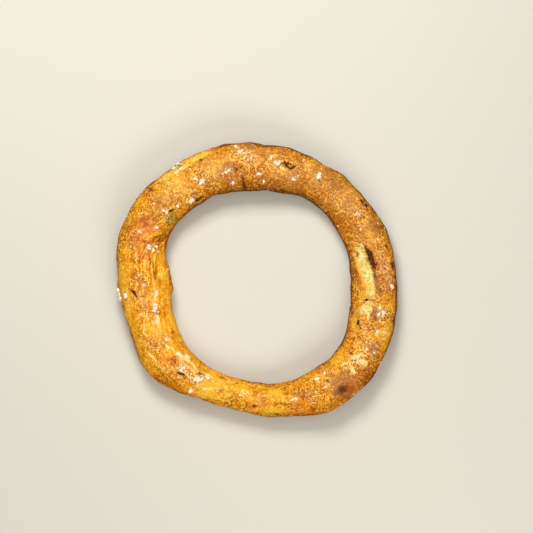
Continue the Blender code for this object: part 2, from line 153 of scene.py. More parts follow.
# ---- soft oval patches that mark the crust: bearing, lean, length, width, strength, and for some
# a turn from the rope's run ----
PATCHES = {
    "scorched": (  # near-black brown
        (3, 4, 12, 2.5, 0.6, -14), (6.4, 60, 10, 7, 1.1, -15), (6.5, -53, 14, 2, 0.6, -8),
        (14.5, -40, 4.5, 3.5, 1), (15, 48, 7, 3.5, 0.9), (25, 36, 6, 5, 0.45, 40), (53, 33, 4, 3, 0.6),
        # The rows at bearing 98, here and on the next line, are painted shade in the pinched crease there.
        (58.4, 8, 4, 2.5, 0.7, 20), (62.8, 32, 5, 2, 0.6), (89.5, 66, 10, 5, 0.6), (98, -55, 3.5, 22, 0.9),
        (98, -32, 3, 10, 0.6), (101, -6, 7, 2, 0.9, -38), (115.2, 42, 5, 5, 0.8, 40), (120, 53, 4, 3, 0.6),
        (139.4, 49, 7, 6, 0.55, 20), (151.6, 13, 7, 5, 0.35), (158, 49, 8, 3, 0.45, 20),
        (160.8, -6, 5, 4, 0.5), (204.5, 40, 4, 3, 0.7), (208.5, 36, 3, 3, 0.5), (211.8, -47, 6, 5, 0.4),
        (224.5, -8, 4, 4, 0.4, 50), (251.2, -55, 6, 2, 0.5), (268.6, 24, 8, 3, 0.6, -20),
        (273.5, -2, 4, 3, 0.4, -30), (304.8, -15, 4, 4, 0.7), (307.8, 27, 17, 12, 0.7, 20),
        (322.5, -23, 6, 4, 0.7, 20), (330.3, 24, 5, 4, 0.4), (341, -57, 6, 5, 0.5), (342.6, 6, 9, 5, 0.4),
        (356.5, 12, 8, 3, 0.35, -14),
    ),
    "bloomed": (  # a dull mauve brown
        (0, 6, 30, 7, 1.1, -12), (10, 20, 46, 18, 0.4), (21, 26, 10, 10, 0.5), (25.5, 36, 15, 12, 1),
        (41, 12, 20, 14, 0.5), (52, 4, 12, 8, 0.6), (52, 26, 34, 24, 0.6), (79.3, 43, 10, 8, 0.7),
        # The row at bearing 98.5 is painted shade in the pinched crease there.
        (88, 35, 12, 12, 0.5), (93.3, 51, 11, 9, 1), (98.5, -24, 5, 10, 0.9), (103, 2, 16, 7, 1.1, -25),
        (104.3, 8, 14, 8, 0.9, -12), (107, 2, 12, 6, 0.6, -30), (115, 20, 14, 10, 0.4),
        (141.5, 14, 24, 18, 0.65), (160, 8, 10, 8, 0.3), (238, 62, 20, 5, 0.4, -20),
        (288.5, -12, 8, 5, 0.5), (292.3, -5, 15, 12, 0.4), (299.4, 58, 5, 4, 0.9),
        (309.4, 24, 27, 26, 1.35), (330, 27, 13, 12, 0.6), (344, 3, 13, 12, 1.2), (357, 11, 20, 5, 1, -14),
    ),
    "browned": (  # a deeper orange brown
        (0, 5, 30, 8, 1, -12), (5, -54, 40, 8, 0.45), (20, -8, 14, 14, 0.5), (22, -8, 14, 12, 0.5),
        (38, -42, 50, 22, 0.9, -6), (40, -60, 40, 20, 0.7), (58, 34, 14, 12, 0.5), (60, -28, 26, 16, 0.8),
        (62, 28, 8, 10, 0.5), (71, -6, 10, 10, 0.8), (74, -32, 18, 18, 0.8), (75, -58, 70, 24, 0.9),
        (78, -30, 34, 14, 0.75), (84, -66, 110, 16, 1), (94, 34, 11, 20, 1.1), (94, 50, 14, 20, 0.6),
        # The rows at bearing 98 and 98.4 are painted shade in the pinched crease there.
        (98, -48, 6, 28, 1.3), (98.4, -38, 7, 30, 1), (101, -28, 8, 14, 0.7), (102, 66, 18, 6, 0.4),
        (105, 4, 8, 8, 0.4), (106, -34, 20, 16, 0.8), (113, 38, 8, 12, 0.6), (118, -12, 9, 24, 1.3),
        (120, -8, 12, 14, 0.5), (136, -20, 7, 8, 0.7), (140, 52, 12, 8, 0.4), (150, -8, 20, 9, 0.7),
        (152, -4, 16, 14, 0.8), (152, 12, 16, 13, 0.4), (161, 14, 24, 16, 0.9, 20), (165, 28, 8, 18, 1),
        (168, -5, 14, 16, 0.8), (178, 8, 12, 14, 0.6), (186, 8, 22, 18, 0.5), (191, 10, 20, 12, 0.3),
        (195, -10, 18, 20, 0.35), (199, -14, 16, 20, 0.9), (210, 14, 14, 16, 0.6), (213, -48, 16, 7, 0.3),
        (222.5, -8, 14, 8, 0.3), (228, -34, 10, 16, 0.5), (230, 64, 50, 8, 0.35),
        (251.8, -2, 8, 8, 0.3, 30), (268, 28, 16, 6, 0.4, -25), (288, 60, 40, 22, 0.6),
        (306, 40, 34, 24, 0.5), (306, 62, 30, 22, 0.6), (318, 48, 34, 26, 0.6), (322.5, -25, 12, 7, 0.4),
        (343, -46, 12, 14, 1), (343, -35, 9, 10, 1.2), (344, 2, 8, 10, 1), (355, -46, 12, 10, 0.5),
    ),
    "ruddy": (  # spots of a red brown
        (0.4, -19, 4, 3, 0.45), (5, 45, 26, 14, 0.2), (8, -18, 2.5, 2.5, 0.6), (14.7, -41, 6, 4.5, 1.4),
        (17.2, -46, 5, 4, 0.9), (49, 32, 30, 16, 0.35), (115, 45, 5, 6, 0.6), (126, -33, 8, 5, 0.85),
        (134, -8, 6, 4, 0.3), (139.3, 48, 9, 6, 0.8, 10), (151, -6, 12, 12, 0.45), (151.6, 13, 17, 14, 1),
        (157.3, 48, 10, 7, 0.7, 15), (160, 12, 20, 14, 0.5), (160.6, -4, 5, 5, 0.75),
        (168, -5, 10, 14, 0.6), (174, -12, 3.5, 3.5, 0.7), (178.6, 24, 9, 9, 0.75), (179, 12, 12, 7, 0.55),
        (193.6, 27, 7, 5, 0.6, -30), (196, -22, 10, 5, 0.4), (204.4, 40, 4, 3, 0.8), (208, 20, 8, 6, 0.35),
        (211.6, -47, 8, 6, 0.7), (221.5, 15, 10, 14, 0.3), (224.8, -9, 13, 7, 0.8), (235, -8, 6, 6, 0.4),
        (249.3, -52, 12, 4, 0.7), (251.6, -2, 7, 6, 0.8, 30), (262, 44, 20, 6, 0.4),
        (263, 32, 10, 4, 0.5, -12), (268.6, 26, 12, 4, 0.9, -22), (273.5, -4, 12, 10, 0.4, -30),
        (285, 34, 16, 8, 0.5, 12), (287.5, 18, 6, 5, 0.5), (290, 38, 18, 16, 0.2), (292.6, -6, 13, 10, 1),
        (304.8, -15, 4, 4, 0.6), (311, 26, 16, 14, 0.5), (322.3, -24, 9, 5, 0.7), (329.8, 22, 10, 8, 0.7),
        (341.5, -30, 3, 3, 0.6), (342, -46, 10, 10, 0.4), (343, -55, 16, 6, 0.6),
        (343.5, 4, 12, 6, 0.6, -10), (350.4, -6, 2.6, 16, 0.8), (351.8, -22, 2.4, 7, 0.7, -30),
        (356, 25, 14, 12, 0.4), (356.5, -37, 12, 4, 0.7, -4),
    ),
    "pale": (  # hardly coloured, and ridged with flour
        (16, -24, 16, 10, 0.3), (42.8, 8, 4, 4, 0.6), (53.5, -9, 4, 3, 0.6), (63.7, -2, 4, 3, 0.6),
        (66, 33, 8, 12, 0.45), (84, 5, 10, 5, 0.4), (101.8, 20, 6, 5, 0.6), (107.8, 20, 7, 6, 0.5),
        (115.5, 12, 9, 12, 0.5), (118, 62, 44, 12, 0.45), (125.5, -42, 6, 2, 0.8),
        (167.5, -50, 18, 5, 0.6, 25), (168, 45, 20, 5, 0.5), (174, -55, 16, 4, 0.6, 8),
        (175, 52, 34, 10, 0.45), (178, 62, 20, 10, 0.7), (187, 31, 6, 2.5, 0.9, -33),
        (190, -3, 12, 10, 0.4), (190, 52, 30, 14, 0.5), (202, 26, 12, 6, 0.6), (218, -24, 12, 8, 0.7),
        (225, -33, 20, 5, 0.6, 20), (227.6, 8, 4, 5, 0.9), (240, -35, 20, 5, 0.8, -20),
        (243, 32, 12, 5, 0.5), (247.5, 15, 6, 8, 0.4), (262.5, -9, 12, 5, 0.55), (277, -35, 14, 9, 0.35),
        (314.8, 9, 4, 3, 0.9), (317, 38, 4, 4, 0.6), (324.5, 33, 4, 5, 0.8, 60), (326.5, -2, 8, 6, 0.6),
        (327.4, 38, 3, 6, 0.8), (335, 40, 12, 10, 0.4), (344, -27, 12, 10, 1.1), (351.5, -37, 6, 5, 0.35),
        (354, -12, 14, 8, 0.3),
    ),
    "rosy": (  # a redder orange than the rest
        (2, 38, 50, 26, 1), (12, 12, 40, 20, 0.5), (28, -20, 10, 10, 0.4), (107, -60, 26, 8, 0.5),
        (158, 8, 34, 24, 0.9), (168, -5, 12, 16, 0.8), (193, 15, 10, 10, 0.7), (198, -50, 20, 6, 0.5),
        (212, -46, 10, 8, 0.7), (212, 6, 18, 14, 0.7), (221, 8, 20, 18, 0.7), (226, 66, 34, 10, 0.7),
        (240, 60, 50, 10, 0.8), (266, 18, 16, 10, 0.8), (273, -5, 14, 10, 0.6), (290, 35, 26, 34, 1),
        (305, 20, 30, 20, 0.5), (315, 45, 50, 22, 0.9),
    ),
    "stroked": (  # pale strokes, where the dough stretched
        (13.4, 30, 6, 2.6, 0.7, -69), (18.6, 61, 11, 2.6, 0.7, -14), (24, -22, 8, 3.8, 0.4, -40),
        (34, 11, 7, 3.8, 0.8, -79), (40, 41, 8, 3, 0.7, -15), (43.7, -11, 12, 3.8, 0.4, -69),
        (77.4, 5, 10, 4.1, 1, 9), (93, 18, 8, 2.6, 0.6, -49), (96, 37, 11, 3.8, 0.7, -20),
        (113, 59, 16, 3, 0.7, 2), (124, 51, 32, 3.8, 0.9, 3), (131, 3, 9, 4.5, 0.5, 17),
        (165, -61, 15, 2.2, 0.8, 50), (168, 12, 10, 2.2, 0.8, 30), (173, 53, 33, 5.6, 0.6),
        (174, -60, 30, 2.2, 0.7, 54), (175, 30, 12, 2, 0.8), (180, -8, 10, 2, 0.7, -8),
        (190, -22, 9, 4.5, 0.9, 18), (192, 32, 12, 2.2, 0.8, 4), (196, 21, 6, 3.4, 0.8, -65),
        (198, 6, 9, 2.4, 0.9, 10), (201, -17, 12, 4.1, 1.1, 9), (202, 20, 15, 3.8, 0.8, 12),
        (206, 22, 12, 2.4, 0.9, -5), (206, 39, 6, 2.2, 0.6), (209, 8, 11, 3, 0.4, -6),
        (210, 66, 10, 2.6, 0.7, -18), (214, 12, 9, 2, 0.8, -10), (216, 30, 20, 3, 1, -9),
        (217, -18, 20, 5.6, 0.8, -25), (222, 28, 12, 2.2, 0.9, -8), (224, -30, 10, 5.6, 1.2, 7),
        (228, -38, 12, 6.4, 1.2, 20), (231, 17, 9, 2.6, 0.9, -7), (233, -34, 15, 3.8, 0.9, 23),
        (235, -20, 14, 2.6, 0.9, 6), (239, 37, 9, 4.1, 1, -16), (243, -36, 16, 4.9, 0.6, -8),
        (243, 47, 14, 2.6, 0.7, -26), (245, 10, 14, 3, 1, -19), (248, -22, 12, 2.2, 0.8, 8),
        (250, -7, 13, 3.4, 0.6, -6), (256, 8, 10, 2.2, 0.8, -12), (262, -2, 9, 2, 0.9, 10),
        (265, -17, 15, 5.6, 0.6, 22), (270, 14, 10, 2.2, 0.8, -10), (287, -1, 10, 3, 1),
        (316, -22, 12, 3.8, 1, 30), (316.7, 8, 8, 4.5, 1.5, -84), (322.4, 18, 11, 4.9, 1.5, 79),
        (323, -5, 12, 3.4, 1.4, 32), (327.5, 40, 7, 1.9, 0.7, -62), (329, 47, 9, 2.2, 0.7, -61),
        (335, 46, 7, 2.2, 0.8, -86), (337.5, 42, 7, 3, 0.9, -56),
    ),
    "light": (  # baked lightly; on the outer flanks partly painted light, where they face away from the lamps
        (3, 50, 26, 16, 1.6), (4, 28, 8, 8, 1), (9, -58, 20, 8, 1.1), (28, -32, 9, 10, 0.9),
        (31, -20, 12, 20, 1), (32, -20, 12, 18, 0.9), (35, 46, 16, 16, 1), (38, 54, 26, 10, 0.6),
        (47, -32, 14, 14, 0.8), (54, 14, 11, 16, 2), (67, 36, 10, 20, 1.9), (76, 18, 10, 14, 2.3),
        (91, 0, 14, 18, 0.6), (125, -46, 8, 10, 0.8), (129, 5, 14, 46, 0.5), (138, -52, 20, 10, 0.8),
        (139, -22, 8, 14, 0.4), (140, 15, 14, 12, 1.3), (148, -42, 20, 14, 0.7),
        (154, -44, 18, 12, 0.8, 20), (155, -36, 8, 12, 1.2), (172, -42, 34, 18, 0.8),
        (177, -58, 20, 14, 1.2), (193, 48, 24, 30, 0.6), (200, -66, 64, 14, 1.3), (208, 56, 60, 14, 0.8),
        (217, -26, 18, 18, 0.8), (218, -40, 14, 14, 0.8), (221, -20, 10, 34, 0.8), (245, 32, 22, 16, 1.9),
        (246, 34, 44, 16, 0.9), (250, 50, 30, 26, 0.5), (275, 48, 30, 12, 1.5), (288, -52, 14, 10, 1),
        (288, 44, 26, 14, 1), (290, 28, 30, 16, 0.6), (321, 55, 14, 10, 0.6), (322, 2, 44, 22, 0.7),
        (334, -12, 12, 22, 1), (338, 52, 36, 24, 2), (349, 52, 22, 18, 2),
    ),
    "golden": (  # a clear yellow gold
        (60, -35, 22, 12, 0.35), (102, 20, 8, 6, 0.5), (114, 58, 20, 10, 0.8), (129, 20, 10, 24, 0.6),
        (132, 60, 14, 9, 0.5), (160, -60, 12, 8, 0.6), (166, 35, 20, 14, 0.5), (172, -50, 34, 14, 0.6),
        (178, 56, 44, 20, 0.6), (196, 62, 34, 10, 0.7), (203, -62, 40, 10, 0.7), (205, -5, 40, 30, 0.5),
        (218, -25, 14, 22, 0.6), (245, -20, 60, 30, 0.55), (248, 25, 20, 16, 0.5), (262, -28, 22, 20, 0.8),
        (277, 38, 20, 11, 1.1), (278, -25, 30, 18, 0.55), (279, -32, 20, 12, 0.9), (314, -50, 30, 16, 0.7),
        (338, -48, 24, 12, 0.6), (352, -35, 12, 8, 0.8),
    ),
    "olive": (  # greenish damp crumb, in lines
        # The row at bearing 0 also paints shade on the crumb beside the tear's wall.
        (0, -7, 18, 5, 0.4), (12, -12, 18, 3, 0.45, -16), (16, -20, 10, 8, 0.45), (19.5, -30, 9, 8, 0.7),
        (35.6, 51, 15, 7, 1, 4), (75.2, 13.5, 12, 8, 1.2, 10), (115, -34, 8, 6, 0.5),
        (116, -20, 8, 7, 0.5), (124, 66, 26, 7, 0.8), (125, -52, 12, 5, 0.8), (144, -64, 15, 22, 0.9),
        (144.8, -44, 20, 15, 1), (151, -55, 14, 8, 0.8, 20), (157, -50, 10, 6, 0.45, 50),
        (164.5, 22, 10, 6, 0.45, 20), (170.5, 30, 8, 8, 0.35), (238.8, -24, 9, 3.5, 0.8, -8),
        (272, 42, 10, 5, 0.4), (276.5, 62, 26, 8, 0.9), (297, -43, 7, 7, 0.35),
        (336.8, -27, 10, 8, 0.8, -20), (342.6, -17, 5, 3, 0.7), (351.8, -34, 7, 7, 0.6),
    ),
    "tan": (  # a painted sheen: a dull light-brown highlight over the crown, where it faces the light
        (15, 8, 70, 30, 0.8), (25, 18, 24, 20, 0.8), (42, 12, 34, 26, 1), (45, 40, 60, 20, 0.8),
        (50, 25, 40, 20, 0.7), (60, 18, 24, 24, 0.9), (64, 30, 22, 22, 0.9), (76, 5, 40, 26, 1),
        (88, 45, 60, 16, 0.6), (90, 20, 16, 14, 0.8), (93, 45, 18, 22, 1), (110, 12, 50, 26, 1),
        (112, 25, 22, 24, 0.9), (129, 15, 12, 34, 0.9), (132, 4, 40, 26, 1), (152, 8, 24, 20, 1),
        (156, 5, 40, 22, 0.8), (163, 15, 16, 12, 0.8), (180, 15, 16, 12, 0.5), (187, 15, 14, 24, 0.6),
        (210, 0, 16, 24, 0.9), (225, 10, 30, 16, 0.5), (228, -20, 20, 12, 0.7), (241, 56, 18, 8, 0.7, -15),
        (250, 0, 20, 12, 0.4), (273, -8, 20, 14, 0.8), (296, 0, 14, 12, 0.7), (308, 0, 24, 18, 0.8),
        (313, 25, 12, 8, 0.6), (343, -38, 14, 12, 0.9), (345, 10, 30, 20, 0.4), (355, -30, 14, 12, 0.5),
    ),
    "wrinkled": (  # finely wrinkled, with pale crests that are partly painted highlight
        (5, 28, 60, 26, 1), (30, 20, 30, 20, 0.6), (40, 10, 60, 24, 0.5), (66, 45, 16, 16, 0.5),
        (85, 15, 60, 24, 0.5), (98, 22, 30, 26, 0.9), (118, 12, 34, 24, 0.6), (130, 10, 70, 50, 0.7),
        (180, 10, 90, 60, 0.6), (195, 0, 40, 40, 0.5), (222, 0, 80, 60, 0.75), (232, 0, 36, 28, 0.8),
        (262, 0, 90, 50, 0.7), (300, 10, 70, 50, 0.7), (320, 5, 30, 26, 1), (345, 30, 34, 30, 0.9),
        (350, -45, 30, 12, 0.5),
    ),
    "crossed": (  # finely lined over the rope
        (126, 20, 20, 14, 0.4), (320, 34, 14, 10, 0.6), (336, 42, 30, 18, 1), (352, 24, 20, 12, 0.5),
    ),
    "streaked": (  # creased along the rope
        (0, -52, 60, 12, 0.9), (90, 45, 50, 20, 0.5), (110, 60, 40, 12, 0.6), (168, -25, 60, 40, 1),
        (185, 10, 80, 50, 0.4), (200, -30, 60, 26, 0.6), (225, -28, 40, 16, 0.6), (226, 8, 60, 40, 0.4),
        (274, -10, 40, 26, 0.6),
    ),
    "dusted": (  # where finer flour lies
        (3, 36, 30, 10, 0.3), (34, 16, 6, 8, 0.7), (94.3, 20, 12, 14, 0.5), (97.5, 39, 9, 6, 0.8, 30),
        (104.8, -6, 9, 4, 1, -20), (109.5, 49, 3, 3, 0.9), (119.5, -12, 9, 4, 1, -20),
        (125.5, 48, 14, 5, 1, -20), (125.5, 72, 16, 4, 1), (129.7, -45, 8, 4, 1), (143.3, -17, 6, 9, 0.8),
        (146, -33, 5, 4, 0.6), (162.3, -38, 8, 6, 0.9, 60), (162.7, -21, 8, 6, 1, 20),
        (185.5, 76, 12, 6, 1), (187, -25, 7, 5, 1), (191, 4, 14, 12, 0.4), (195, -17, 9, 8, 1, 30),
        (196.2, 22, 4, 8, 0.7), (202, -4, 4, 6, 0.7, 60), (202.4, -13, 9, 4, 0.9), (223.3, -27, 9, 5, 1),
        (227.6, -40, 10, 3, 0.9, 15), (229.8, -9, 9, 9, 1), (233.5, -10, 6, 6, 0.6),
        (238.8, -5, 12, 8, 1, -30), (240, -23, 5, 3, 0.8), (262.5, -9, 10, 5, 0.6), (287, -2, 8, 3, 0.9),
        (304, -9, 9, 5, 0.6), (321, 0, 24, 16, 0.4), (328, 36, 6, 10, 0.6), (330, 10, 34, 26, 0.3),
        (338, 43, 10, 8, 0.7), (344.5, 18, 8, 4, 1.1, 70), (345.3, 28, 8, 4, 1.1, 50),
        (345.4, -27, 8, 4, 1.1), (347.3, 16, 7, 4, 1.1, -40),
    ),
}
PATCH_FADE = 1.4  # how fast a patch fades from its middle

# ---- flour baked on: bearing, lean, size ----
FLOUR_LUMPS = (
    (59.4, 17, 3.4), (59.8, 26, 2.8), (80.2, 12, 3.6), (81.2, 15, 2.6), (83.5, 27, 2.6),
    (70.4, -18, 2.8), (89, -17, 3.2), (86.5, -36, 2.4), (99.3, 57, 2.6), (97.9, 37, 3), (96.8, 41, 2.2),
    (106.1, -8, 2.6), (104.4, -5, 2.2), (104, -36, 3), (118.7, -11, 3.2), (120.3, -13, 2.6),
    (121.5, 3, 2.6), (124.3, 50, 3.2), (127.2, 44, 3), (124.2, 74, 3), (126.8, 73, 2.6),
    (128.9, -44, 3.2), (130.4, -45, 2.8), (143.3, -11, 2.6), (143.2, -21, 2.6), (137, -31, 2.2),
    (152.3, -22, 2.4), (157.2, 13, 2.2), (162, -19, 2.8), (163.5, -21, 2.4), (163.6, -33, 2.8),
    (161.4, -42, 2.4), (182.2, 2, 2.4), (186.6, 50, 3.6), (186.2, -25, 2.8), (187.8, -24, 3),
    (183.8, 79, 3.4), (185.6, 77, 3), (187.4, 78, 3.6), (193.4, -20, 2.8), (195.1, -19, 2.8),
    (196.3, -13, 2.8), (202.2, -14, 2.4), (212.8, -20, 2.6), (222.7, -27, 3.4), (224.2, -26, 2.6),
    (227.4, -40, 2.4), (229.8, -12, 2.6), (229.3, -5, 2.2), (237.8, -2, 3.8), (239.2, -4, 3.4),
    (240.4, -10, 3), (242.5, -27, 3.4), (238.8, 40, 3.4), (301.3, -33, 3), (306, -38, 2.6),
    (286.4, -2, 2.2), (288.1, -3, 2.4), (357.6, 50, 3.6), (336.8, 20, 2.8), (345.8, 26, 3),
    (344.6, 14, 2.6), (347.5, 15, 2.4),
)
FLOUR_PROUD = 0.2  # how far a lump's middle stands off the crust, as a share of its size
LUMP_DUST = (2.0, 0.7)  # dust round a lump: how far it reaches, as a share of the lump, and strength
LUMP_SHAPE = (1.3, 0.85, 0.8)
GRAIN_SHAPE = (1.0, 0.75, 0.5)
STRAY_GRAINS = 0.07  # as a share of the grains where dust is thickest
TURN_SEED = 3  # which random turns the grains have
FULL_TURN = 6.283  # radians

# ---- how evenly it baked, and the run of its fine lines ----
HOT_SIDE = 40  # the bearing that baked brownest
SHOULDERS = {  # marks that come in over the sides: from which lean, and over how many degrees
    "side": (40, 60),
    "flank": (8, 45),
    "rim": (62, 24),
    "low": (80, 24),
    "under": (78, 40),
}
TOAST_DROP = 0.855  # evens out the sum of noise and marks, so that the settings stay near 0 to 1
TOAST_STOPS = (0.0, 0.26, 0.5, 0.74, 1.0)  # from the palest crust to the darkest
CREASE_STRETCH = 6.0  # creases run this many times as far along the rope as they are wide
OVER_STRETCH = 3.0  # and the fine lines over the rope this many times as far over as they are wide
CREASE_TURN = (147, 15, 20.0)  # round this bearing, over this many degrees, they slant this far

# ---- sizes and depths of the noise, in metres ----
BROAD_SIZE = 0.026
PATCHY_SIZE = 0.009
MOTTLE_SIZE = 0.0036
GRIT_SIZE = 0.0009
CRUMB_SIZE = 0.0024
CLOT_SIZE = 0.0009  # of flour
CLOT_DEPTH = 0.0004
DUST_ZONES = 0.0038  # where grains lie thicker
BLISTER_ZONES = 0.011  # where blisters stand higher
BLISTER_SHIFT = (0.006, 0.0022)  # over what size blisters are moved about, and how far
WORM_SHIFT = (0.004, 0.0012)  # and the fine winding wrinkles

# ---- the studio ----
FLOOR_GRAIN = 0.004
FLOOR_DEPTH = 0.00005
FLOOR_SPECKS = (0.7, 0.69, 0.66)
LAMP_TINT = (1.0, 0.92, 0.76)
SKY_TINT = (1.0, 0.88, 0.66)
LAMPS = (  # name, size, the setting that holds its power, place
    ("window", (0.5, 0.4), "key_power", (-0.22, 0.82, 1.0)),
    ("fill", (0.8, 0.5), "fill_power", (0.3, -0.85, 0.75)),
    ("softbox", (1.6, 1.6), "soft_power", (0.0, 0.1, 1.6)),
)
CAMERA_LENS = 400.0
CAMERA_SENSOR = 36.0
CAMERA_OVER = (0.0081, 0.0128)

# ---- the net: fine over the top, coarse under the base ----
STATIONS = 800
TOP_LINES = 112
BASE_LINES = 12
TURN_UNDER = 128


# ---------------------------------------------------------------- shape of the crust


def ease(value):
    """0 to 1 along a smooth step."""
    value = np.clip(value, 0, 1)
    return value * value * (3 - 2 * value)


def turned_from(bearing, middle=0):
    """Degrees round the ring from a bearing, -180 to 180."""
    return (bearing - middle + 180) % 360 - 180


def rope_at(bearing):
    """The centre line's radius and the rope's width at a bearing, on a smooth closed curve."""
    table = np.array(ROPE)
    place = np.asarray(bearing, float) % 360 / STATION_STEP
    first = np.floor(place).astype(int)
    part = (place - first)[..., None]
    before, here, after, beyond = (table[(first + k) % len(table)] for k in (-1, 0, 1, 2))
    bend = 2 * before - 5 * here + 4 * after - beyond
    turn = 3 * (here - after) + beyond - before
    value = here + 0.5 * part * (after - before + part * (bend + part * turn))
    return value[..., 0], value[..., 1]


def rope_radius(bearing):
    """How far the crust lies from the middle of the rope, on average over its top."""
    width = rope_at(bearing)[1]
    return (width / 2 + (RISE_LEAST + RISE_SHARE * width) * (1 - WIDEST_AT)) / 2


def smooth_rope(bearing, lean):
    """Points on the rope before its relief, and the way out of the crust there."""
    radius, width = rope_at(bearing)
    height = RISE_LEAST + RISE_SHARE * width
    widest = WIDEST_AT * height
    round_it, over = np.radians(bearing), np.radians(lean)
    reach = np.where(np.cos(over) >= 0, height - widest, widest * SLUMP)
    out = width / 2 * np.sin(over)
    level = widest + reach * np.cos(over)
    blend = np.clip((level + FOOT_ROUND) / (2 * FOOT_ROUND), 0, 1)
    level = np.where(level < FOOT_ROUND, FOOT_ROUND * blend**2, level)
    point = np.stack([(radius + out) * np.cos(round_it), (radius + out) * np.sin(round_it), level], -1)
    sideways, upward = reach * np.sin(over), width / 2 * np.cos(over)
    length = np.hypot(sideways, upward)
    sideways, upward = sideways / length, upward / length
    way_out = np.stack([sideways * np.cos(round_it), sideways * np.sin(round_it), upward], -1)
    return point, way_out


def noise_at(points, size, shift=0.0):
    """Smooth noise, about -1 to 1, whose lumps are this many millimetres across."""
    offset = Vector((shift, -shift, 2 * shift))
    return np.array([noise.noise(Vector(point) / size + offset) for point in points])


class Places:
    """The bearings and leans of many points, and the ways to measure over the crust from them."""

    def __init__(self, bearing, lean):
        self.bearing = bearing
        self.lean = lean
        self.radius, width = rope_at(bearing)
        self.girth = rope_radius(bearing)
        self.level_radius = self.radius + width / 2 * np.sin(np.radians(lean))

    def along(self, middle):
        """Millimetres along the rope from a bearing."""
        return np.radians(turned_from(self.bearing, middle)) * self.level_radius

    def across(self, lean=0.0):
        """Millimetres over the rope from a lean."""
        return np.radians(self.lean - lean) * self.girth

    def turned(self, bearing, lean, turn=0):
        """Both, from one place, with the axes turned."""
        along, across = self.along(bearing), self.across(lean)
        c, s = math.cos(math.radians(turn)), math.sin(math.radians(turn))
        return along * c + across * s, across * c - along * s

    def off_path(self, path):
        """Distance from a path, which side of it (+1 on its right), and the share of it passed."""
        middle = path[len(path) // 2][0]
        x, y = self.along(middle), self.across()
        corners = []
        for bearing, lean in path:
            radius, width = rope_at(bearing)
            spread = radius + width / 2 * math.sin(math.radians(lean))
            run = math.radians(turned_from(bearing, middle)) * spread
            corners.append((run, math.radians(lean) * rope_radius(bearing)))
        nearest = np.full(x.shape, np.inf)
        side, share = np.zeros(x.shape), np.zeros(x.shape)
        for index, ((x0, y0), (x1, y1)) in enumerate(zip(corners, corners[1:])):
            run, climb = x1 - x0, y1 - y0
            part = np.clip(((x - x0) * run + (y - y0) * climb) / (run**2 + climb**2), 0, 1)
            gap = np.hypot(x - x0 - part * run, y - y0 - part * climb)
            closer = gap < nearest
            nearest = np.where(closer, gap, nearest)
            side = np.where(closer, np.sign((x - x0) * climb - (y - y0) * run), side)
            share = np.where(closer, (index + part) / (len(path) - 1), share)
        return nearest, side, share

    def patches(self, table):
        """How strongly each place is marked by a table of soft oval patches."""
        total = np.zeros(self.bearing.shape)
        for bearing, lean, length, width, strength, *turn in table:
            along, across = self.turned(bearing, lean, *turn)
            spread = (2 * along / length) ** 2 + (2 * across / width) ** 2
            total = np.maximum(total, strength * np.exp(-PATCH_FADE * spread))
        return total


def tear(places):
    """The long tear's depth, how far inside it each place lies, its strand, and the way from its wall."""
    turned = turned_from(places.bearing)
    first, last = TORN_WALL[0][0], TORN_WALL[-1][0]
    to_end = np.radians(np.minimum(turned - first, last - turned)) * places.radius
    ends = ease(to_end / TORN_TAPER)
    wall = np.interp(turned, *zip(*TORN_WALL))
    spread = np.interp(turned, *zip(*TORN_FOOT)) - wall
    foot = wall + spread * (0.25 + 0.75 * ends)
    edge = wall + spread * (0.5 + 0.5 * ends)
    share = (wall - places.lean) / (wall - foot)
    inside = np.minimum(wall - places.lean, places.lean - edge) * np.radians(1) * places.girth
    inside = np.minimum(inside, to_end)
    at_wall, slant, half_width = STRAND
    strand = (turned - at_wall - slant * share) / (half_width * (0.5 + share))
    strand = np.exp(-(strand**2))
    depth = TORN_DEPTH * np.interp(share, HOLLOW_SHARES, HOLLOW_DEPTHS) * ends * (1 - 0.75 * strand)
    return depth, inside, strand, share


def ledge(places, path, drop, run):
    """How far the crust has stepped down beside a path, and where each place lies from it."""
    gap, side, share = places.off_path(path)
    ends = ease(3 * (1 - np.abs(2 * share - 1)))
    reach = run * (0.25 + 0.75 * ends)
    return drop * ends * np.interp(side * gap / reach, HOLLOW_SHARES, HOLLOW_DEPTHS), gap, side, ends


def ridge(places, path, rise, width):
    """How far a ridge along a path stands up, tapering to its ends."""
    gap, _, share = places.off_path(path)
    return rise * (1 - np.abs(2 * share - 1) ** 3) * np.exp(-SWELL_FADE * (gap / width) ** 2)


def slit(places, bearing, lean, length, width, depth, turn):
    """How deep a pointed slit is, and how far inside it each place is: 1 in the middle, 0 at the edge."""
    along, across = places.turned(bearing, lean, turn)
    opening = np.clip(1 - (2 * along / length) ** 2, FAR_OUTSIDE, 1)
    inside = opening - np.abs(2 * across / width)
    return depth * np.sqrt(np.clip(SLIT_STEEPNESS * inside, 0, 1)), inside


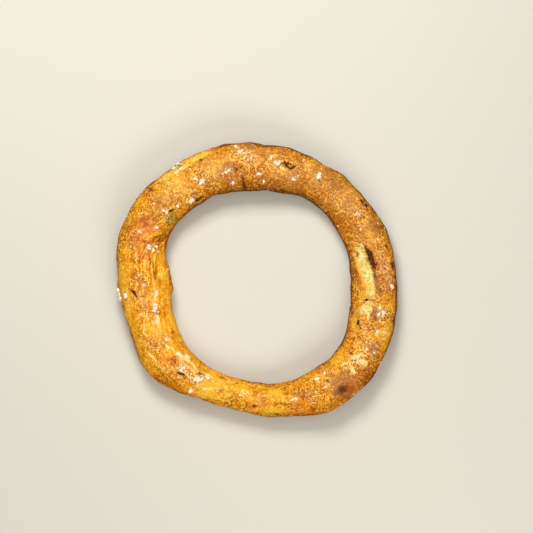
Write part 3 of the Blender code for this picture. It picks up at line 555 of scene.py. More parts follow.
def crust_shape(bearing, lean):
    """Points of the crust in millimetres, the way out of it, and what marks it there."""
    point, way_out = smooth_rope(bearing, lean)
    free = ease(point[:, 2] / FREE_ABOVE)
    relief = sum(rise * noise_at(point, size) for size, rise in LUMPS)

    # A torn edge wanders, so the marks are looked up a little to one side of each place.
    wander = [sum(far * noise_at(point, size, shift + k) for far, size, shift in WANDER) for k in (0, 1)]
    straight = Places(bearing, lean)
    places = Places(
        bearing + np.degrees(wander[0] / straight.radius), lean + np.degrees(wander[1] / straight.girth)
    )

    relief += sum(ridge(straight, *line) for line in RIDGES)
    for at_bearing, at_lean, length, width, rise in SWELLS:
        along, across = straight.turned(at_bearing, at_lean)
        relief += rise * np.exp(-SWELL_FADE * ((along / length) ** 2 + (across / width) ** 2))

    depth, inside, strand, torn_share = tear(places)
    relief -= depth
    # The strand keeps its crust almost down to the foot.
    crumb = ease(0.5 + inside / CRUMB_EDGE) * (1 - 0.85 * strand * (torn_share < 0.9))
    marks = {name: places.patches(table) for name, table in PATCHES.items()}

    # Below a ledge the dough stretched and stayed pale, and shade is painted dark along the wall itself.
    shade = np.zeros(len(bearing))
    for path, drop, run, paleness, wall_shade in LEDGES:
        down, gap, side, ends = ledge(places, path, drop, run)
        relief -= down
        low = paleness * ends * (side > 0) * ease(2 - gap / run * 1.6)
        marks["golden"] = np.maximum(marks["golden"], low)
        marks["pale"] = np.maximum(marks["pale"], 0.6 * low)
        wall = wall_shade * ends * np.exp(-((np.maximum(side * gap, -3 * side * gap) / LEDGE_WALL) ** 2))
        shade = np.maximum(shade, wall)

    # A slit drops steeply inside a rim that curls up.
    pit = np.full(len(bearing), FAR_OUTSIDE)
    for shape in SLITS:
        down, within = slit(places, *shape)
        relief -= down
        relief += RIM_RISE * np.exp(-(((within + 0.9) / 0.6) ** 2)) * (within < 0)
        pit = np.maximum(pit, within)

    # Dust lies round each lump of flour.
    reach, strength = LUMP_DUST
    around = [(b, l, size * reach, size * reach, strength) for b, l, size in FLOUR_LUMPS]
    marks["dusted"] = np.maximum(marks["dusted"], places.patches(around))
    point = point + way_out * (relief * free)[:, None]
    point[:, 2] = np.maximum(point[:, 2], 0)
    marks.update(
        free=free,
        crumb=crumb,
        wall_side=torn_share,
        pit=pit,
        shade=shade,
        hot=0.5 + 0.5 * np.cos(np.radians(bearing - HOT_SIDE)),
    )
    for name, (start, spread) in SHOULDERS.items():
        marks[name] = ease((np.abs(lean) - start) / spread)
    return point, way_out, marks


def lined_way(bearing, lean, run_by, over_by):
    """Where each place lies for lined noise: squeezed along or over the rope, and slanted at the lap."""
    middle, spread, shift = CREASE_TURN
    run = np.radians(bearing)
    radius = rope_at(bearing)[0] / run_by
    over = np.radians(lean) * rope_radius(bearing)
    over = (over + shift * np.exp(-(((bearing - middle) / spread) ** 2))) / over_by
    return np.stack([radius * np.cos(run), radius * np.sin(run), over], -1) * MM


# ---------------------------------------------------------------- building nodes


def solid(rgb):
    return (*rgb, 1.0)


class Nodes:
    """Adds nodes to a tree, each with its settings and with values or links for its inputs."""

    def __init__(self, tree):
        self.tree = tree

    def add(self, kind, inputs=(), **settings):
        node = self.tree.nodes.new(kind)
        for name, value in settings.items():
            setattr(node, name, value)
        for key, value in dict(inputs).items():
            socket = node.inputs[key]
            if isinstance(value, bpy.types.NodeSocket):
                self.tree.links.new(value, socket)
            else:
                socket.default_value = value
        return node

    def math(self, operation, a, b=0.0, clamp=False):
        return self.add("ShaderNodeMath", {0: a, 1: b}, operation=operation, use_clamp=clamp).outputs[0]

    def minus(self, a, b, clamp=False):
        return self.math("SUBTRACT", a, b, clamp)

    def product(self, *factors):
        value = factors[0]
        for factor in factors[1:]:
            value = self.math("MULTIPLY", value, factor)
        return value

    def total(self, *terms):
        """Adds terms; what a tuple holds is multiplied first, such as a value and its weight."""
        total = None
        for term in terms:
            term = self.product(*term) if isinstance(term, tuple) else term
            total = term if total is None else self.math("ADD", total, term)
        return total

    def between(self, value, low, high, to_low=0.0, to_high=1.0):
        """The value eased from one range to another."""
        inputs = {"Value": value, 1: low, 2: high, 3: to_low, 4: to_high}
        return self.add("ShaderNodeMapRange", inputs, interpolation_type="SMOOTHSTEP").outputs[0]

    def blend(self, share, a, b, how="MIX"):
        """A share of the second colour over the first; each is a link, or red, green and blue."""
        linked = bpy.types.NodeSocket
        a, b = (paint if isinstance(paint, linked) else solid(paint) for paint in (a, b))
        inputs = {0: share, 6: a, 7: b}
        return self.add("ShaderNodeMix", inputs, data_type="RGBA", blend_type=how).outputs[2]

    def scaled(self, way, size):
        return self.add("ShaderNodeVectorMath", {0: way, 3: size}, operation="SCALE").outputs[0]

    def per(self, size):
        return 1 / size if isinstance(size, float) else self.math("DIVIDE", 1.0, size)

    def grain(self, where, size, detail=2.0, roughness=0.5, distortion=0.0):
        """Noise whose lumps are about this size in metres."""
        inputs = {
            "Vector": where,
            "Scale": self.per(size),
            "Detail": detail,
            "Roughness": roughness,
            "Distortion": distortion,
        }
        return self.add("ShaderNodeTexNoise", inputs).outputs[0]

    def cells(self, where, size):
        """Distance from the middle of the nearest of many cells."""
        made = self.add("ShaderNodeTexVoronoi", {"Vector": where, "Scale": self.per(size)})
        return made.outputs["Distance"]

    def shifted(self, where, size, shift):
        """A place moved about by noise."""
        warp = self.add("ShaderNodeTexNoise", {"Vector": where, "Scale": 1 / size, "Detail": 1.0})
        swirl = self.scaled(warp.outputs[1], shift)
        return self.add("ShaderNodeVectorMath", {0: where, 1: swirl}, operation="ADD").outputs[0]

    def blisters(self, where, size):
        """Rounded blisters, in patches: 1 on their tops."""
        domes = self.between(self.cells(self.shifted(where, *BLISTER_SHIFT), size), 0.62, 0.05)
        zones = self.between(self.grain(where, BLISTER_ZONES, 1.0), 0.35, 0.6, 0.3, 1.0)
        return self.product(domes, zones)

    def worms(self, where, size):
        """Thin winding wrinkles: 1 on their crests."""
        level = self.grain(self.shifted(where, *WORM_SHIFT), size, 0.0)
        return self.between(self.math("ABSOLUTE", self.minus(level, 0.5)), 0.085, 0.0)


def new_material(name):
    material = bpy.data.materials.new(name)
    material.use_nodes = True
    material.node_tree.nodes.clear()
    return material, Nodes(material.node_tree)


def finish_material(nodes, paint, roughness, height, depth, specular):
    """Ends a material: its colour, its roughness, and a bump this deep in metres."""
    bump = nodes.add("ShaderNodeBump", {"Height": height, "Distance": depth, "Strength": 1.0})
    inputs = {
        "Base Color": paint,
        "Roughness": roughness,
        "Specular IOR Level": specular,
        "Normal": bump.outputs[0],
    }
    shader = nodes.add("ShaderNodeBsdfPrincipled", inputs)
    nodes.add("ShaderNodeOutputMaterial", {"Surface": shader.outputs[0]})


def crust_material(look):
    """Golden crust, browned, blistered and scorched, with pale crumb where it tore."""
    material, nodes = new_material("baked_crust")
    between, product, total = nodes.between, nodes.product, nodes.total

    def mark(name, part="Fac"):
        return nodes.add("ShaderNodeAttribute", attribute_name=name).outputs[part]

    # Noise, coarse to fine. The finest is drawn out along or over the rope where it is lined.
    ways = ("flat_place", "crease_way", "over_way")
    where, creases_at, over_at = (mark(way, "Vector") for way in ways)
    broad = nodes.grain(where, BROAD_SIZE)
    patchy = nodes.grain(where, PATCHY_SIZE, 3.0, 0.6, 0.4)
    mottle = nodes.grain(where, MOTTLE_SIZE, 2.0, 0.6, 0.6)
    grit = nodes.grain(where, GRIT_SIZE, 1.0, 0.6)
    fleck = nodes.grain(where, look.fleck_size, 1.0, 0.5, 0.6)
    worm = nodes.worms(where, look.worm_size)
    free = nodes.grain(where, look.grain_size, 2.0, 0.6, 1.0)
    along, over = (nodes.grain(way, look.grain_size, 2.0, 0.6) for way in (creases_at, over_at))
    fine = total(
        free, (nodes.minus(along, free), mark("streaked")), (nodes.minus(over, free), mark("crossed"))
    )
    crease = nodes.grain(creases_at, look.crease_size, 2.0, 0.6)
    creased = product(mark("streaked"), nodes.minus(crease, 0.5))
    uneven = total((mottle, 1.4), (fine, 0.8), -0.2)

    # Pale crests, partly painted highlight, and the gaps between them, darkened with painted shade; calmer
    # on the lower sides.
    upper = total((mark("low"), -1.0), 1.0)
    calm = total((upper, 0.6), 0.4)
    plain = total((mark("rim"), -0.75), 1.0)
    wrinkled = product(total((mark("wrinkled"), 0.62), 0.38), calm, plain)
    curl = product(worm, total((mark("hot"), 0.15), 0.05), upper)
    crisp = total((fine, 0.72), (fleck, 0.28), curl, (mark("low"), 0.03), -0.03)
    crest = between(crisp, 0.505, 0.55)
    gap = between(crisp, 0.46, 0.41)

    # How brown it baked, and no browner than it may be outside its scorched spots. The browner sides, rim
    # and underside are partly browning and partly painted shade. The gaps between crests darken with
    # painted shade, and the crests lighten with painted highlight.
    flank_browning_and_shade = product(mark("side"), mark("hot"))
    toast = total(
        (mark("hot"), look.hot_side),
        (mark("browned"), total((mottle, 0.6), 0.35), 0.6),
        (flank_browning_and_shade, 0.12),
        (mark("rim"), total(mark("hot"), 0.25), calm, 0.36),
        (mark("under"), 0.1),
        (mark("low"), -0.08),
        (mark("light"), -0.17),
        (mark("golden"), -0.12),
        (broad, 0.8),
        (patchy, 0.75),
        (mottle, 0.4),
        (grit, 0.12),
        (gap, 0.04),
        (crest, -0.08),
        (wrinkled, gap, 0.12),
        (wrinkled, crest, -0.33),
        (creased, 1.1),
        look.toast - TOAST_DROP,
    )
    most = total((flank_browning_and_shade, 0.6), (mark("browned"), 0.05), look.darkest_toast)
    ramp = nodes.add("ShaderNodeValToRGB", {0: nodes.math("MINIMUM", toast, most)})
    colours = (look.palest, look.golden, look.amber, look.brown, look.dark)
    while len(ramp.color_ramp.elements) < len(colours):
        ramp.color_ramp.elements.new(0.5)
    for element, place, rgb in zip(ramp.color_ramp.elements, TOAST_STOPS, colours):
        element.position = place
        element.color = solid(rgb)
    paint = ramp.outputs[0]

    # A painted sheen on the crown, a dull bloom, clear gold, red-brown spots, cream, pale strokes, and
    # pale crests that are partly painted highlight.
    tan = product(mark("tan"), between(total(mottle, fine), 0.7, 1.2, 0.4, 1.0))
    bloom = between(total((mark("bloomed"), 1.1), (mottle, 0.7), (fine, 0.7)), 0.85, 1.4)
    gold = between(product(mark("golden"), uneven), 0.1, 0.8)
    red = product(mark("ruddy"), total((mottle, 1.3), (gap, 0.4)))
    cream = product(mark("pale"), total((mottle, 1.2), (crest, 0.5)))
    stroke = product(mark("stroked"), total((mottle, 0.8), (fine, 0.6), (crest, 0.4)))
    clear = total((mark("bloomed"), -0.6), 1.0)
    tops = product(crest, wrinkled, between(patchy, 0.35, 0.6, 0.5, 1.0), clear)
    flour_and_highlight = nodes.blend(between(mark("hot"), 0.2, 0.7), look.pale_crests, look.crests)
    for share, colour in (
        (product(tan, 0.6), look.tan),
        (product(bloom, 0.78), look.bloom),
        (product(gold, 0.8), look.gold),
        (between(red, 0.05, 0.7, 0.0, 0.95), look.ruddy),
        (between(cream, 0.25, 0.75, 0.0, 0.9), look.cream),
        (between(stroke, 0.25, 0.6, 0.0, 0.9), look.pale_stroke),
        (product(tops, 0.95), flour_and_highlight),
    ):
        paint = nodes.blend(share, paint, colour)
    rosy = between(product(mark("rosy"), uneven), 0.1, 0.7)
    for share, dye in ((product(mark("flank"), 0.9), look.side_tint), (rosy, look.rosy_tint)):
        paint = nodes.blend(share, paint, dye, "MULTIPLY")

    # The crumb of the tear, ripe and stringy, and browned towards its foot.
    down = mark("wall_side")
    lit = between(total((mottle, 0.6), (fine, 0.6), (mark("pale"), 0.2)), 0.54, 0.7)
    ripe = between(total((patchy, 0.7), (mottle, 0.3), (down, 0.22)), 0.58, 0.74)
    strands = product(between(crisp, 0.47, 0.41), between(down, 1.1, 0.2))
    torn = between(total((down, 0.9), (mottle, 0.9), (fine, 0.5)), 1.42, 1.55)
    crumb = nodes.blend(lit, look.crumb, look.crumb_light)
    for share, colour in (
        (product(ripe, 0.6), look.gold),
        (product(strands, 0.8), look.olive),
        (product(torn, 0.8), look.amber),
        (between(red, 0.1, 0.7), look.ruddy),
    ):
        crumb = nodes.blend(share, crumb, colour)

    # Scorched spots, crumb, painted shade on the walls under the ledges, brown rims and near-black insides
    # of the slits, which are partly singed crust and partly painted shade, and flour.
    burn = between(product(mark("scorched"), uneven), 0.1, 0.65)
    damp = between(product(mark("olive"), total(uneven, (gap, 0.5))), 0.25, 0.85)
    greens = nodes.blend(between(crisp, 0.4, 0.54), look.olive_dark, look.olive)
    ragged = total(mark("pit"), (nodes.minus(mottle, 0.5), 2.0))
    soot = nodes.blend(between(fine, 0.43, 0.56), look.soot, look.maroon)
    for share, colour in (
        (burn, look.scorched),
        (mark("crumb"), crumb),
        (damp, greens),
        (product(mark("shade"), 0.85), look.dark),
        (between(ragged, -0.75, -0.1, 0.0, 0.7), look.brown),
        (between(ragged, -0.15, 0.1), soot),
        (product(mark("dusted"), between(fine, 0.44, 0.56), 0.65), look.flour),
    ):
        paint = nodes.blend(share, paint, colour)

    dull = total(mottle, mark("crumb"), mark("dusted"), (mark("side"), 0.6))
    height = total((fine, 1.1), (mottle, 0.8), (grit, 0.1), (worm, 0.2), (creased, 1.4))
    finish_material(nodes, paint, between(dull, 0.3, 1.2, 0.4, 0.8), height, look.bump_depth, 0.03)
    return material


def flour_material(look):
    material, nodes = new_material("baked_flour")
    where = nodes.add("ShaderNodeTexCoord").outputs["Object"]
    clots = nodes.grain(where, CLOT_SIZE, 2.0, 0.6)
    # The hollows of the bump take the shaded flour colour, a painted shade.
    paint = nodes.blend(nodes.between(clots, 0.38, 0.58), look.flour_shade, look.flour)
    finish_material(nodes, paint, nodes.between(clots, 0.3, 0.7, 0.7, 0.95), clots, CLOT_DEPTH, 0.2)
    return material


# ---------------------------------------------------------------- node trees that make geometry


def geometry_tree(name, *labels):
    """A tree with one mesh in and one out, and a named input for each size."""
    tree = bpy.data.node_groups.new(name, "GeometryNodeTree")
    for way in ("INPUT", "OUTPUT"):
        tree.interface.new_socket("Geometry", in_out=way, socket_type="NodeSocketGeometry")
    for label in labels:
        kind = "NodeSocketInt" if label == "Seed" else "NodeSocketFloat"
        tree.interface.new_socket(label, in_out="INPUT", socket_type=kind)
    nodes = Nodes(tree)
    return tree, nodes, nodes.add("NodeGroupInput").outputs


def tree_end(nodes, geometry, material):
    real = nodes.add("GeometryNodeRealizeInstances", {0: geometry})
    shown = nodes.add("GeometryNodeSetMaterial", {0: real.outputs[0], "Material": material})
    nodes.add("NodeGroupOutput", {0: shown.outputs[0]})


def field(nodes, name, kind="FLOAT"):
    return nodes.add("GeometryNodeInputNamedAttribute", {0: name}, data_type=kind).outputs[0]


def moved(nodes, geometry, way, rise):
    """The geometry with each point moved along a way."""
    shift = nodes.scaled(way, rise)
    return nodes.add("GeometryNodeSetPosition", {0: geometry, "Offset": shift}).outputs[0]


def set_out(nodes, points, instance, turn, shape, size):
    """An instance on every point, turned, and scaled to its own size."""
    squashed = nodes.add("ShaderNodeCombineXYZ", dict(enumerate(shape))).outputs[0]
    scale = nodes.scaled(squashed, size)
    inputs = {"Points": points, "Instance": instance.outputs[0], "Rotation": turn, "Scale": scale}
    return nodes.add("GeometryNodeInstanceOnPoints", inputs).outputs[0]


def relief_tree(material):
    """Raises blisters, wrinkles and creases on the net, along the way out of the crust."""
    tree, nodes, given = geometry_tree(
        "Crust relief",
        "Blister size",
        "Blister height",
        "Worm size",
        "Worm height",
        "Wrinkle size",
        "Wrinkle height",
        "Crease size",
        "Crease depth",
        "Crumb roughness",
    )
    where, creases_at, way_out = (
        field(nodes, name, "FLOAT_VECTOR") for name in ("flat_place", "crease_way", "way_out")
    )
    crumb = field(nodes, "crumb")
    crust = nodes.minus(1.0, crumb, clamp=True)
    blister = nodes.product(nodes.blisters(where, given["Blister size"]), given["Blister height"], crust)
    worm = nodes.product(nodes.worms(where, given["Worm size"]), given["Worm height"], crust)
    waves = nodes.grain(where, given["Wrinkle size"], 3.0, 0.6, 0.5)
    wrinkle = nodes.product(nodes.minus(waves, 0.5), given["Wrinkle height"])
    crease = nodes.minus(nodes.grain(creases_at, given["Crease size"], 2.0, 0.6), 0.5)
    crease = nodes.product(crease, given["Crease depth"], field(nodes, "streaked"))
    rough = nodes.minus(nodes.grain(where, CRUMB_SIZE, 3.0), 0.5)
    rough = nodes.product(rough, given["Crumb roughness"], crumb)
    calm = nodes.minus(1.0, nodes.product(field(nodes, "rim"), 0.85))
    fine = nodes.product(nodes.total(blister, worm, crease), calm)
    rise = nodes.product(nodes.total(fine, wrinkle, rough), field(nodes, "free"))
    raised = moved(nodes, given["Geometry"], way_out, rise)
    smooth = nodes.add("GeometryNodeSetShadeSmooth", {0: raised})
    tree_end(nodes, smooth.outputs[0], material)
    return tree


def lumps_tree(material):
    """Sets a knobbly lump of flour on every point, by the point's size and turn."""
    tree, nodes, given = geometry_tree("Flour lumps", "Knob size", "Knobbliness")
    ball = nodes.add("GeometryNodeMeshIcoSphere", {"Radius": 0.5, "Subdivisions": 4})
    turn = field(nodes, "turn", "QUATERNION")
    lumps = set_out(nodes, given["Geometry"], ball, turn, LUMP_SHAPE, field(nodes, "size"))
    real = nodes.add("GeometryNodeRealizeInstances", {0: lumps})
    where = nodes.add("GeometryNodeInputPosition").outputs[0]
    way = nodes.add("GeometryNodeInputNormal").outputs[0]
    knobs = nodes.minus(nodes.grain(where, given["Knob size"], 3.0, 0.65), 0.52)
    rise = nodes.product(knobs, given["Knobbliness"])
    tree_end(nodes, moved(nodes, real.outputs[0], way, rise), material)
    return tree


def grains_tree(material):
    """Scatters flour grains over the dusted places of the crust."""
    labels = ("Least grain", "Largest grain", "Grains per area", "Seed")
    tree, nodes, given = geometry_tree("Flour grains", *labels)
    where = nodes.add("GeometryNodeInputPosition").outputs[0]
    zones = nodes.grain(where, DUST_ZONES)
    thick = nodes.product(field(nodes, "dusted"), nodes.between(zones, 0.46, 0.6))
    calm, up = (nodes.minus(1.0, field(nodes, name), clamp=True) for name in ("rim", "under"))
    everywhere = nodes.product(nodes.between(zones, 0.5, 0.7), calm, STRAY_GRAINS)
    density = nodes.product(nodes.total(thick, everywhere), up, given["Grains per area"])
    inputs = {"Mesh": given["Geometry"], "Density": density, "Seed": given["Seed"]}
    spread = nodes.add("GeometryNodeDistributePointsOnFaces", inputs, distribute_method="RANDOM")
    ball = nodes.add("GeometryNodeMeshIcoSphere", {"Radius": 1.0, "Subdivisions": 1})

    def draw(seed, most):
        """A random number from 0 for each grain."""
        inputs = {"Seed": seed, 3: most}
        return nodes.add("FunctionNodeRandomValue", inputs, data_type="FLOAT").outputs[1]

    # Most grains are small, because the draw is cubed.
    few = nodes.math("POWER", draw(given["Seed"], 1.0), 3.0)
    span = nodes.minus(given["Largest grain"], given["Least grain"])
    size = nodes.total((few, span), given["Least grain"])
    about = nodes.add("ShaderNodeCombineXYZ", {2: draw(TURN_SEED, FULL_TURN)}).outputs[0]
    inputs = {0: spread.outputs["Rotation"], 1: about}
    turned = nodes.add("FunctionNodeRotateRotation", inputs, rotation_space="LOCAL").outputs[0]
    grains = set_out(nodes, spread.outputs["Points"], ball, turned, GRAIN_SHAPE, size)
    tree_end(nodes, grains, material)
    return tree


def plain_mesh(thing, tree, look):
    """Runs a node tree on an object once, with its settings, and keeps only the mesh that it makes."""
    modifier = thing.modifiers.new(tree.name, "NODES")
    modifier.node_group = tree
    for item in tree.interface.items_tree:
        setting = item.name.lower().replace(" ", "_")
        if item.item_type == "SOCKET" and item.in_out == "INPUT" and hasattr(look, setting):
            modifier[item.identifier] = getattr(look, setting)
    graph = bpy.context.evaluated_depsgraph_get()
    made = bpy.data.meshes.new_from_object(thing.evaluated_get(graph))
    thing.modifiers.clear()
    if not made.polygons:
        raise RuntimeError(f"{tree.name} made no faces")
    thing.data = made
    made.name = thing.name


def add_piece(name, mesh):
    thing = bpy.data.objects.new(name, mesh)
    bpy.context.scene.collection.objects.link(thing)
    return thing


def keep(mesh, name, kind, values):
    """Stores values on a mesh's points."""
    part = "vector" if kind == "FLOAT_VECTOR" else "value"
    values = np.asarray(values, np.float32).ravel()
    mesh.attributes.new(name, kind, "POINT").data.foreach_set(part, values)


def claim(thing):
    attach(thing, BODY)
    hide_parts(NODE)


# ---------------------------------------------------------------- settings


def amount(name, description, default, **limits):
    return bpy.props.FloatProperty(name=name, description=description, default=default, **limits)


def metres(name, description, default):
    return amount(name, description, default, min=0.0, unit="LENGTH", precision=5)


def power(name, description, default):
    return amount(name, description, default, unit="POWER")


def tint(name, description, default):
    return bpy.props.FloatVectorProperty(
        name=name, description=description, default=default, subtype="COLOR", min=0.0, max=1.0
    )


class CrustSettings(bpy.types.PropertyGroup):
    blister_size: metres("Blister size", "How far apart the crust's blisters are", 0.0031)
    blister_height: metres("Blister height", "How far a blister stands off the crust", 0.0004)
    worm_size: metres("Fine wrinkle size", "How far apart the fine winding wrinkles are", 0.0031)
    worm_height: metres("Fine wrinkle height", "How far they stand off the crust", 0.00028)
    fleck_size: metres("Fleck size", "How far apart its finest flecks are", 0.0008)
    grain_size: metres("Grain size", "How far apart the crust's pale crests are", 0.0021)
    wrinkle_size: metres("Wrinkle size", "How far apart the broad wrinkles are", 0.0085)
    wrinkle_height: metres("Wrinkle height", "How far they rise and fall", 0.0016)
    crease_size: metres("Crease size", "How far apart the creases along the rope are", 0.0019)
    crease_depth: metres("Crease depth", "How deep they are", 0.0012)
    crumb_roughness: metres("Crumb roughness", "How ragged the torn crumb is", 0.0024)
    bump_depth: metres("Grain depth", "How deep the finest grain of the crust is", 0.0013)
    toast: amount("Browning", "How brown the whole crust is", 0.33)
    hot_side: amount("Uneven browning", "How much browner the hot side is", 0.24)
    darkest_toast: amount(
        "Darkest browning", "How brown it gets outside its scorched spots", 0.74, min=0.0, max=1.0
    )
    palest: tint("Palest crust", "Where the crust hardly coloured", (0.95, 0.62, 0.11))
    golden: tint("Golden crust", "Most of the crust", (0.90, 0.455, 0.026))
    amber: tint("Amber crust", "Where it baked longer", (0.76, 0.292, 0.008))
    brown: tint("Brown crust", "Its brown freckles", (0.42, 0.11, 0.002))
    # Also the painted shade along the walls under the ledges.
    dark: tint("Dark crust", "Its darkest creases", (0.15, 0.034, 0.0))
    # These crest colours are partly flour and partly painted highlight on the tops of the finest wrinkles.
    crests: tint("Wrinkle crests", "The floury crests of the finest wrinkles", (0.95, 0.70, 0.22))
    pale_crests: tint("Pale crests", "Those of the paler side", (0.97, 0.77, 0.22))
    # A painted sheen: the dull light-brown highlight over the crown, where it faces the light.
    tan: tint("Tan sheen", "Where the top heat dulled it", (0.80, 0.44, 0.15))
    bloom: tint("Bloom", "Dull mauve-brown patches", (0.40, 0.14, 0.052))
    gold: tint("Clear gold", "Where it is a clear yellow", (0.93, 0.53, 0.038))
    ruddy: tint("Red-brown spots", "Where blisters browned", (0.43, 0.105, 0.018))
    cream: tint("Cream", "Floury ridges that hardly coloured", (0.88, 0.69, 0.27))
    pale_stroke: tint("Pale strokes", "Stretched dough that stayed pale", (0.95, 0.78, 0.36))
    side_tint: tint("Side tint", "What the crust's sides are dyed with", (1.0, 0.97, 0.58))
    rosy_tint: tint("Rosy tint", "What its redder parts are dyed with", (1.0, 0.83, 0.9))
    scorched: tint("Scorched crust", "The dark scorched spots", (0.13, 0.038, 0.012))
    # These two colours of the slits' insides are partly singed crust and partly painted shade.
    maroon: tint("Maroon", "Singed crust inside the slits", (0.17, 0.045, 0.018))
    soot: tint("Soot", "The inside of the slits", (0.03, 0.013, 0.006))
    crumb: tint("Crumb", "The torn crumb", (0.72, 0.551, 0.145))
    crumb_light: tint("Light crumb", "The crumb's lightest strands", (0.883, 0.833, 0.46))
    olive: tint("Damp crumb", "Greenish crumb at the edge of a tear", (0.56, 0.37, 0.05))
    olive_dark: tint("Dark damp crumb", "Its darker lines", (0.17, 0.085, 0.010))
    flour: tint("Flour dust", "Flour over the crust", (0.95, 0.86, 0.72))


class FlourSettings(bpy.types.PropertyGroup):
    knob_size: metres("Knob size", "How far apart the knobs on a lump are", 0.0014)
    knobbliness: metres("Knobbliness", "How far a lump's surface wanders", 0.0028)
    least_grain: metres("Smallest grain", "Radius of the smallest grain", 0.0003)
    largest_grain: metres("Largest grain", "Radius of the largest grain", 0.0011)
    grains_per_area: amount("Grains per area", "Most grains on a square metre", 500000.0, min=0.0)
    seed: bpy.props.IntProperty(name="Seed", description="Which scatter of grains", default=5)
    flour: tint("Flour", "The baked-on flour", (0.93, 0.94, 0.92))
    # Painted shade in the hollows between the flour's clots.
    flour_shade: tint("Shaded flour", "The flour's toasted side", (0.88, 0.72, 0.46))


class StudioSettings(bpy.types.PropertyGroup):
    floor_size: metres("Floor size", "Width of the floor", 3.0)
    floor_tint: tint("Floor colour", "The plain floor", (0.60, 0.62, 0.65))
    camera_height: metres("Camera height", "Height of the camera over the floor", 5.345)
    key_power: power("Key light", "Power of the window light", 15.2)
    soft_power: power("Soft light", "Power of the softbox overhead", 9.0)
    fill_power: power("Fill light", "Power of the light from the near side", 7.2)
    sky_strength: amount("Sky light", "Brightness of the light from all sides", 0.14)


# ---------------------------------------------------------------- operators


def ring_net():
    """The crust's net of quads, with its marks and its map, before the fine relief."""
    over = np.linspace(-TURN_UNDER, TURN_UNDER, TOP_LINES + 1)
    under = np.linspace(TURN_UNDER, 360 - TURN_UNDER, BASE_LINES + 1)[1:-1]
    leans = turned_from(np.concatenate([over, under]))
    lines = len(leans)
    bearings = np.arange(STATIONS) * 360 / STATIONS
    bearing, lean = np.repeat(bearings, lines), np.tile(leans, STATIONS)
    points, way_out, marks = crust_shape(bearing, lean)
    station, line = np.divmod(np.arange(STATIONS * lines), lines)
    here, ahead, beside = station * lines, (station + 1) % STATIONS * lines, (line + 1) % lines
    faces = np.stack([here + line, here + beside, ahead + beside, ahead + line], -1)
    mesh = bpy.data.meshes.new("crust")
    mesh.from_pydata((points * MM).tolist(), [], faces.tolist())
    for name, values in marks.items():
        keep(mesh, name, "FLOAT", values)
    for name, values in (
        ("way_out", way_out),
        ("flat_place", points * MM),
        ("crease_way", lined_way(bearing, lean, CREASE_STRETCH, 1.0)),
        ("over_way", lined_way(bearing, lean, 1.0, OVER_STRETCH)),
    ):
        keep(mesh, name, "FLOAT_VECTOR", values)

    # The map lays the ring out as two strips, one above the other.
    strip, place = np.divmod(station, STATIONS // 2)
    u = np.stack([place, place, place + 1, place + 1], -1) / (STATIONS // 2)
    v = np.stack([line, line + 1, line + 1, line], -1) / lines
    flat = np.stack([0.01 + 0.98 * u, 0.01 + 0.48 * v + 0.5 * strip[:, None]], -1)
    mesh.uv_layers.new(name="OFBake").uv.foreach_set("vector", flat.astype(np.float32).ravel())
    return mesh


class BREADRING_OT_bake_crust(bpy.types.Operator):
    """Shape the ring's crust, with its tears, slits, blisters and browning"""

    bl_idname = "bread_ring.bake_crust"
    bl_label = "Bake crust"

    def execute(self, context):
        look = context.scene.bread_crust
        crust = add_piece("crust", ring_net())
        plain_mesh(crust, relief_tree(crust_material(look)), look)
        claim(crust)
        return {"FINISHED"}


class BREADRING_OT_flour_lumps(bpy.types.Operator):
    """Set the lumps of baked-on flour on the crust"""

    bl_idname = "bread_ring.flour_lumps"
    bl_label = "Flour lumps"

    def execute(self, context):
        look = context.scene.bread_flour
        bearing, lean, size = np.array(FLOUR_LUMPS).T
        points, way_out, _ = crust_shape(bearing, lean)
        seats = points + way_out * (FLOUR_PROUD * size)[:, None]
        mesh = bpy.data.meshes.new("flour_lumps")
        mesh.from_pydata((seats * MM).tolist(), [], [])
        keep(mesh, "size", "FLOAT", size * MM)
        spin = np.random.default_rng(look.seed).uniform(0, math.pi, len(size))
        turns = [
            Vector(way).to_track_quat("Z", "X") @ Quaternion((0, 0, 1), about)
            for way, about in zip(way_out, spin)
        ]
        keep(mesh, "turn", "QUATERNION", turns)
        lumps = add_piece("flour_lumps", mesh)
        plain_mesh(lumps, lumps_tree(flour_material(look)), look)
        claim(lumps)
        return {"FINISHED"}


class BREADRING_OT_flour_grains(bpy.types.Operator):
    """Dust the crust with fine grains of flour"""

    bl_idname = "bread_ring.flour_grains"
    bl_label = "Flour grains"

    def execute(self, context):
        crust = bpy.data.objects.get("crust")
        if crust is None:
            raise RuntimeError("bake the crust before dusting it")
        grains = add_piece("flour_grains", crust.data.copy())
        plain_mesh(grains, grains_tree(bpy.data.materials["baked_flour"]), context.scene.bread_flour)
        claim(grains)
        return {"FINISHED"}


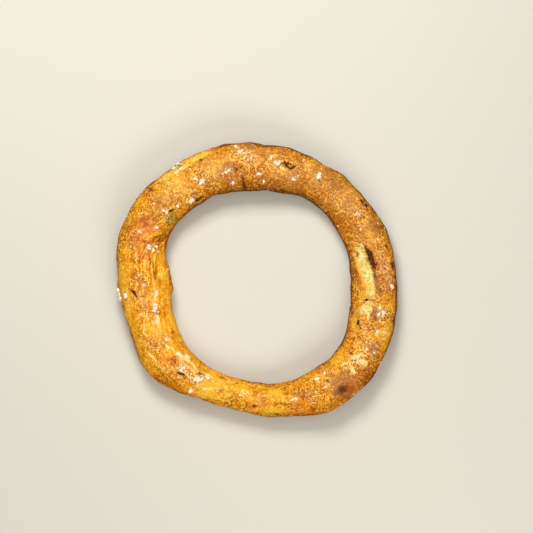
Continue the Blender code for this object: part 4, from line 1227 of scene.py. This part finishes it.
class BREADRING_OT_set_studio(bpy.types.Operator):
    """Lay the floor and set the lights and the camera"""

    bl_idname = "bread_ring.set_studio"
    bl_label = "Set studio"

    def execute(self, context):
        look = context.scene.bread_studio
        half = look.floor_size / 2
        corners = [(-half, -half, 0), (half, -half, 0), (half, half, 0), (-half, half, 0)]
        mesh = bpy.data.meshes.new("floor")
        mesh.from_pydata(corners, [], [(0, 1, 2, 3)])
        material, nodes = new_material("plain_floor")
        where = nodes.add("ShaderNodeTexCoord").outputs["Object"]
        grain = nodes.grain(where, FLOOR_GRAIN, 3.0, 0.6)
        paint = nodes.blend(nodes.product(grain, 0.04), look.floor_tint, FLOOR_SPECKS)
        finish_material(nodes, paint, 0.85, grain, FLOOR_DEPTH, 0.2)
        mesh.materials.append(material)
        floor = add_piece("floor", mesh)

        for name, size, strength, place in LAMPS:
            light = bpy.data.lights.new(name, "AREA")
            light.shape = "RECTANGLE"
            light.size, light.size_y = size
            light.energy = getattr(look, strength)
            light.color = LAMP_TINT
            lamp = add_piece(name, light)
            lamp.location = place
            lamp.rotation_euler = (-lamp.location).to_track_quat("-Z", "Y").to_euler()
            lamp.visible_camera = False

        world = bpy.data.worlds.new("sky")
        world.use_nodes = True
        background = world.node_tree.nodes["Background"]
        background.inputs["Color"].default_value = solid(SKY_TINT)
        background.inputs["Strength"].default_value = look.sky_strength
        context.scene.world = world
        context.scene.view_settings.view_transform = "Standard"

        camera = bpy.data.cameras.new("overhead")
        camera.lens = CAMERA_LENS
        camera.sensor_width = CAMERA_SENSOR
        eye = add_piece("overhead", camera)
        eye.location = (*CAMERA_OVER, look.camera_height)
        context.scene.camera = eye
        return {"FINISHED"}


class BREADRING_PT_panel(bpy.types.Panel):
    """Lists the steps that make the bread ring"""

    bl_idname = "BREADRING_PT_panel"
    bl_label = "Bread ring"
    bl_space_type = "VIEW_3D"
    bl_region_type = "UI"
    bl_category = "Bread ring"

    def draw(self, context):
        groups = (
            (context.scene.bread_crust, (BREADRING_OT_bake_crust,)),
            (context.scene.bread_flour, (BREADRING_OT_flour_lumps, BREADRING_OT_flour_grains)),
            (context.scene.bread_studio, (BREADRING_OT_set_studio,)),
        )
        for settings, steps in groups:
            box = self.layout.box()
            for name in settings.bl_rna.properties.keys():
                if name not in {"rna_type", "name"}:
                    box.prop(settings, name)
            for step in steps:
                box.operator(step.bl_idname)


CLASSES = (
    CrustSettings,
    FlourSettings,
    StudioSettings,
    BREADRING_OT_bake_crust,
    BREADRING_OT_flour_lumps,
    BREADRING_OT_flour_grains,
    BREADRING_OT_set_studio,
    BREADRING_PT_panel,
)


def register():
    for kind in CLASSES:
        bpy.utils.register_class(kind)
    bpy.types.Scene.bread_crust = bpy.props.PointerProperty(type=CrustSettings)
    bpy.types.Scene.bread_flour = bpy.props.PointerProperty(type=FlourSettings)
    bpy.types.Scene.bread_studio = bpy.props.PointerProperty(type=StudioSettings)


def unregister():
    for name in ("bread_crust", "bread_flour", "bread_studio"):
        delattr(bpy.types.Scene, name)
    for kind in reversed(CLASSES):
        bpy.utils.unregister_class(kind)


def main():
    register()
    bpy.ops.bread_ring.bake_crust()
    bpy.ops.bread_ring.flour_lumps()
    bpy.ops.bread_ring.flour_grains()
    bpy.ops.bread_ring.set_studio()


if __name__ == "__main__":
    main()
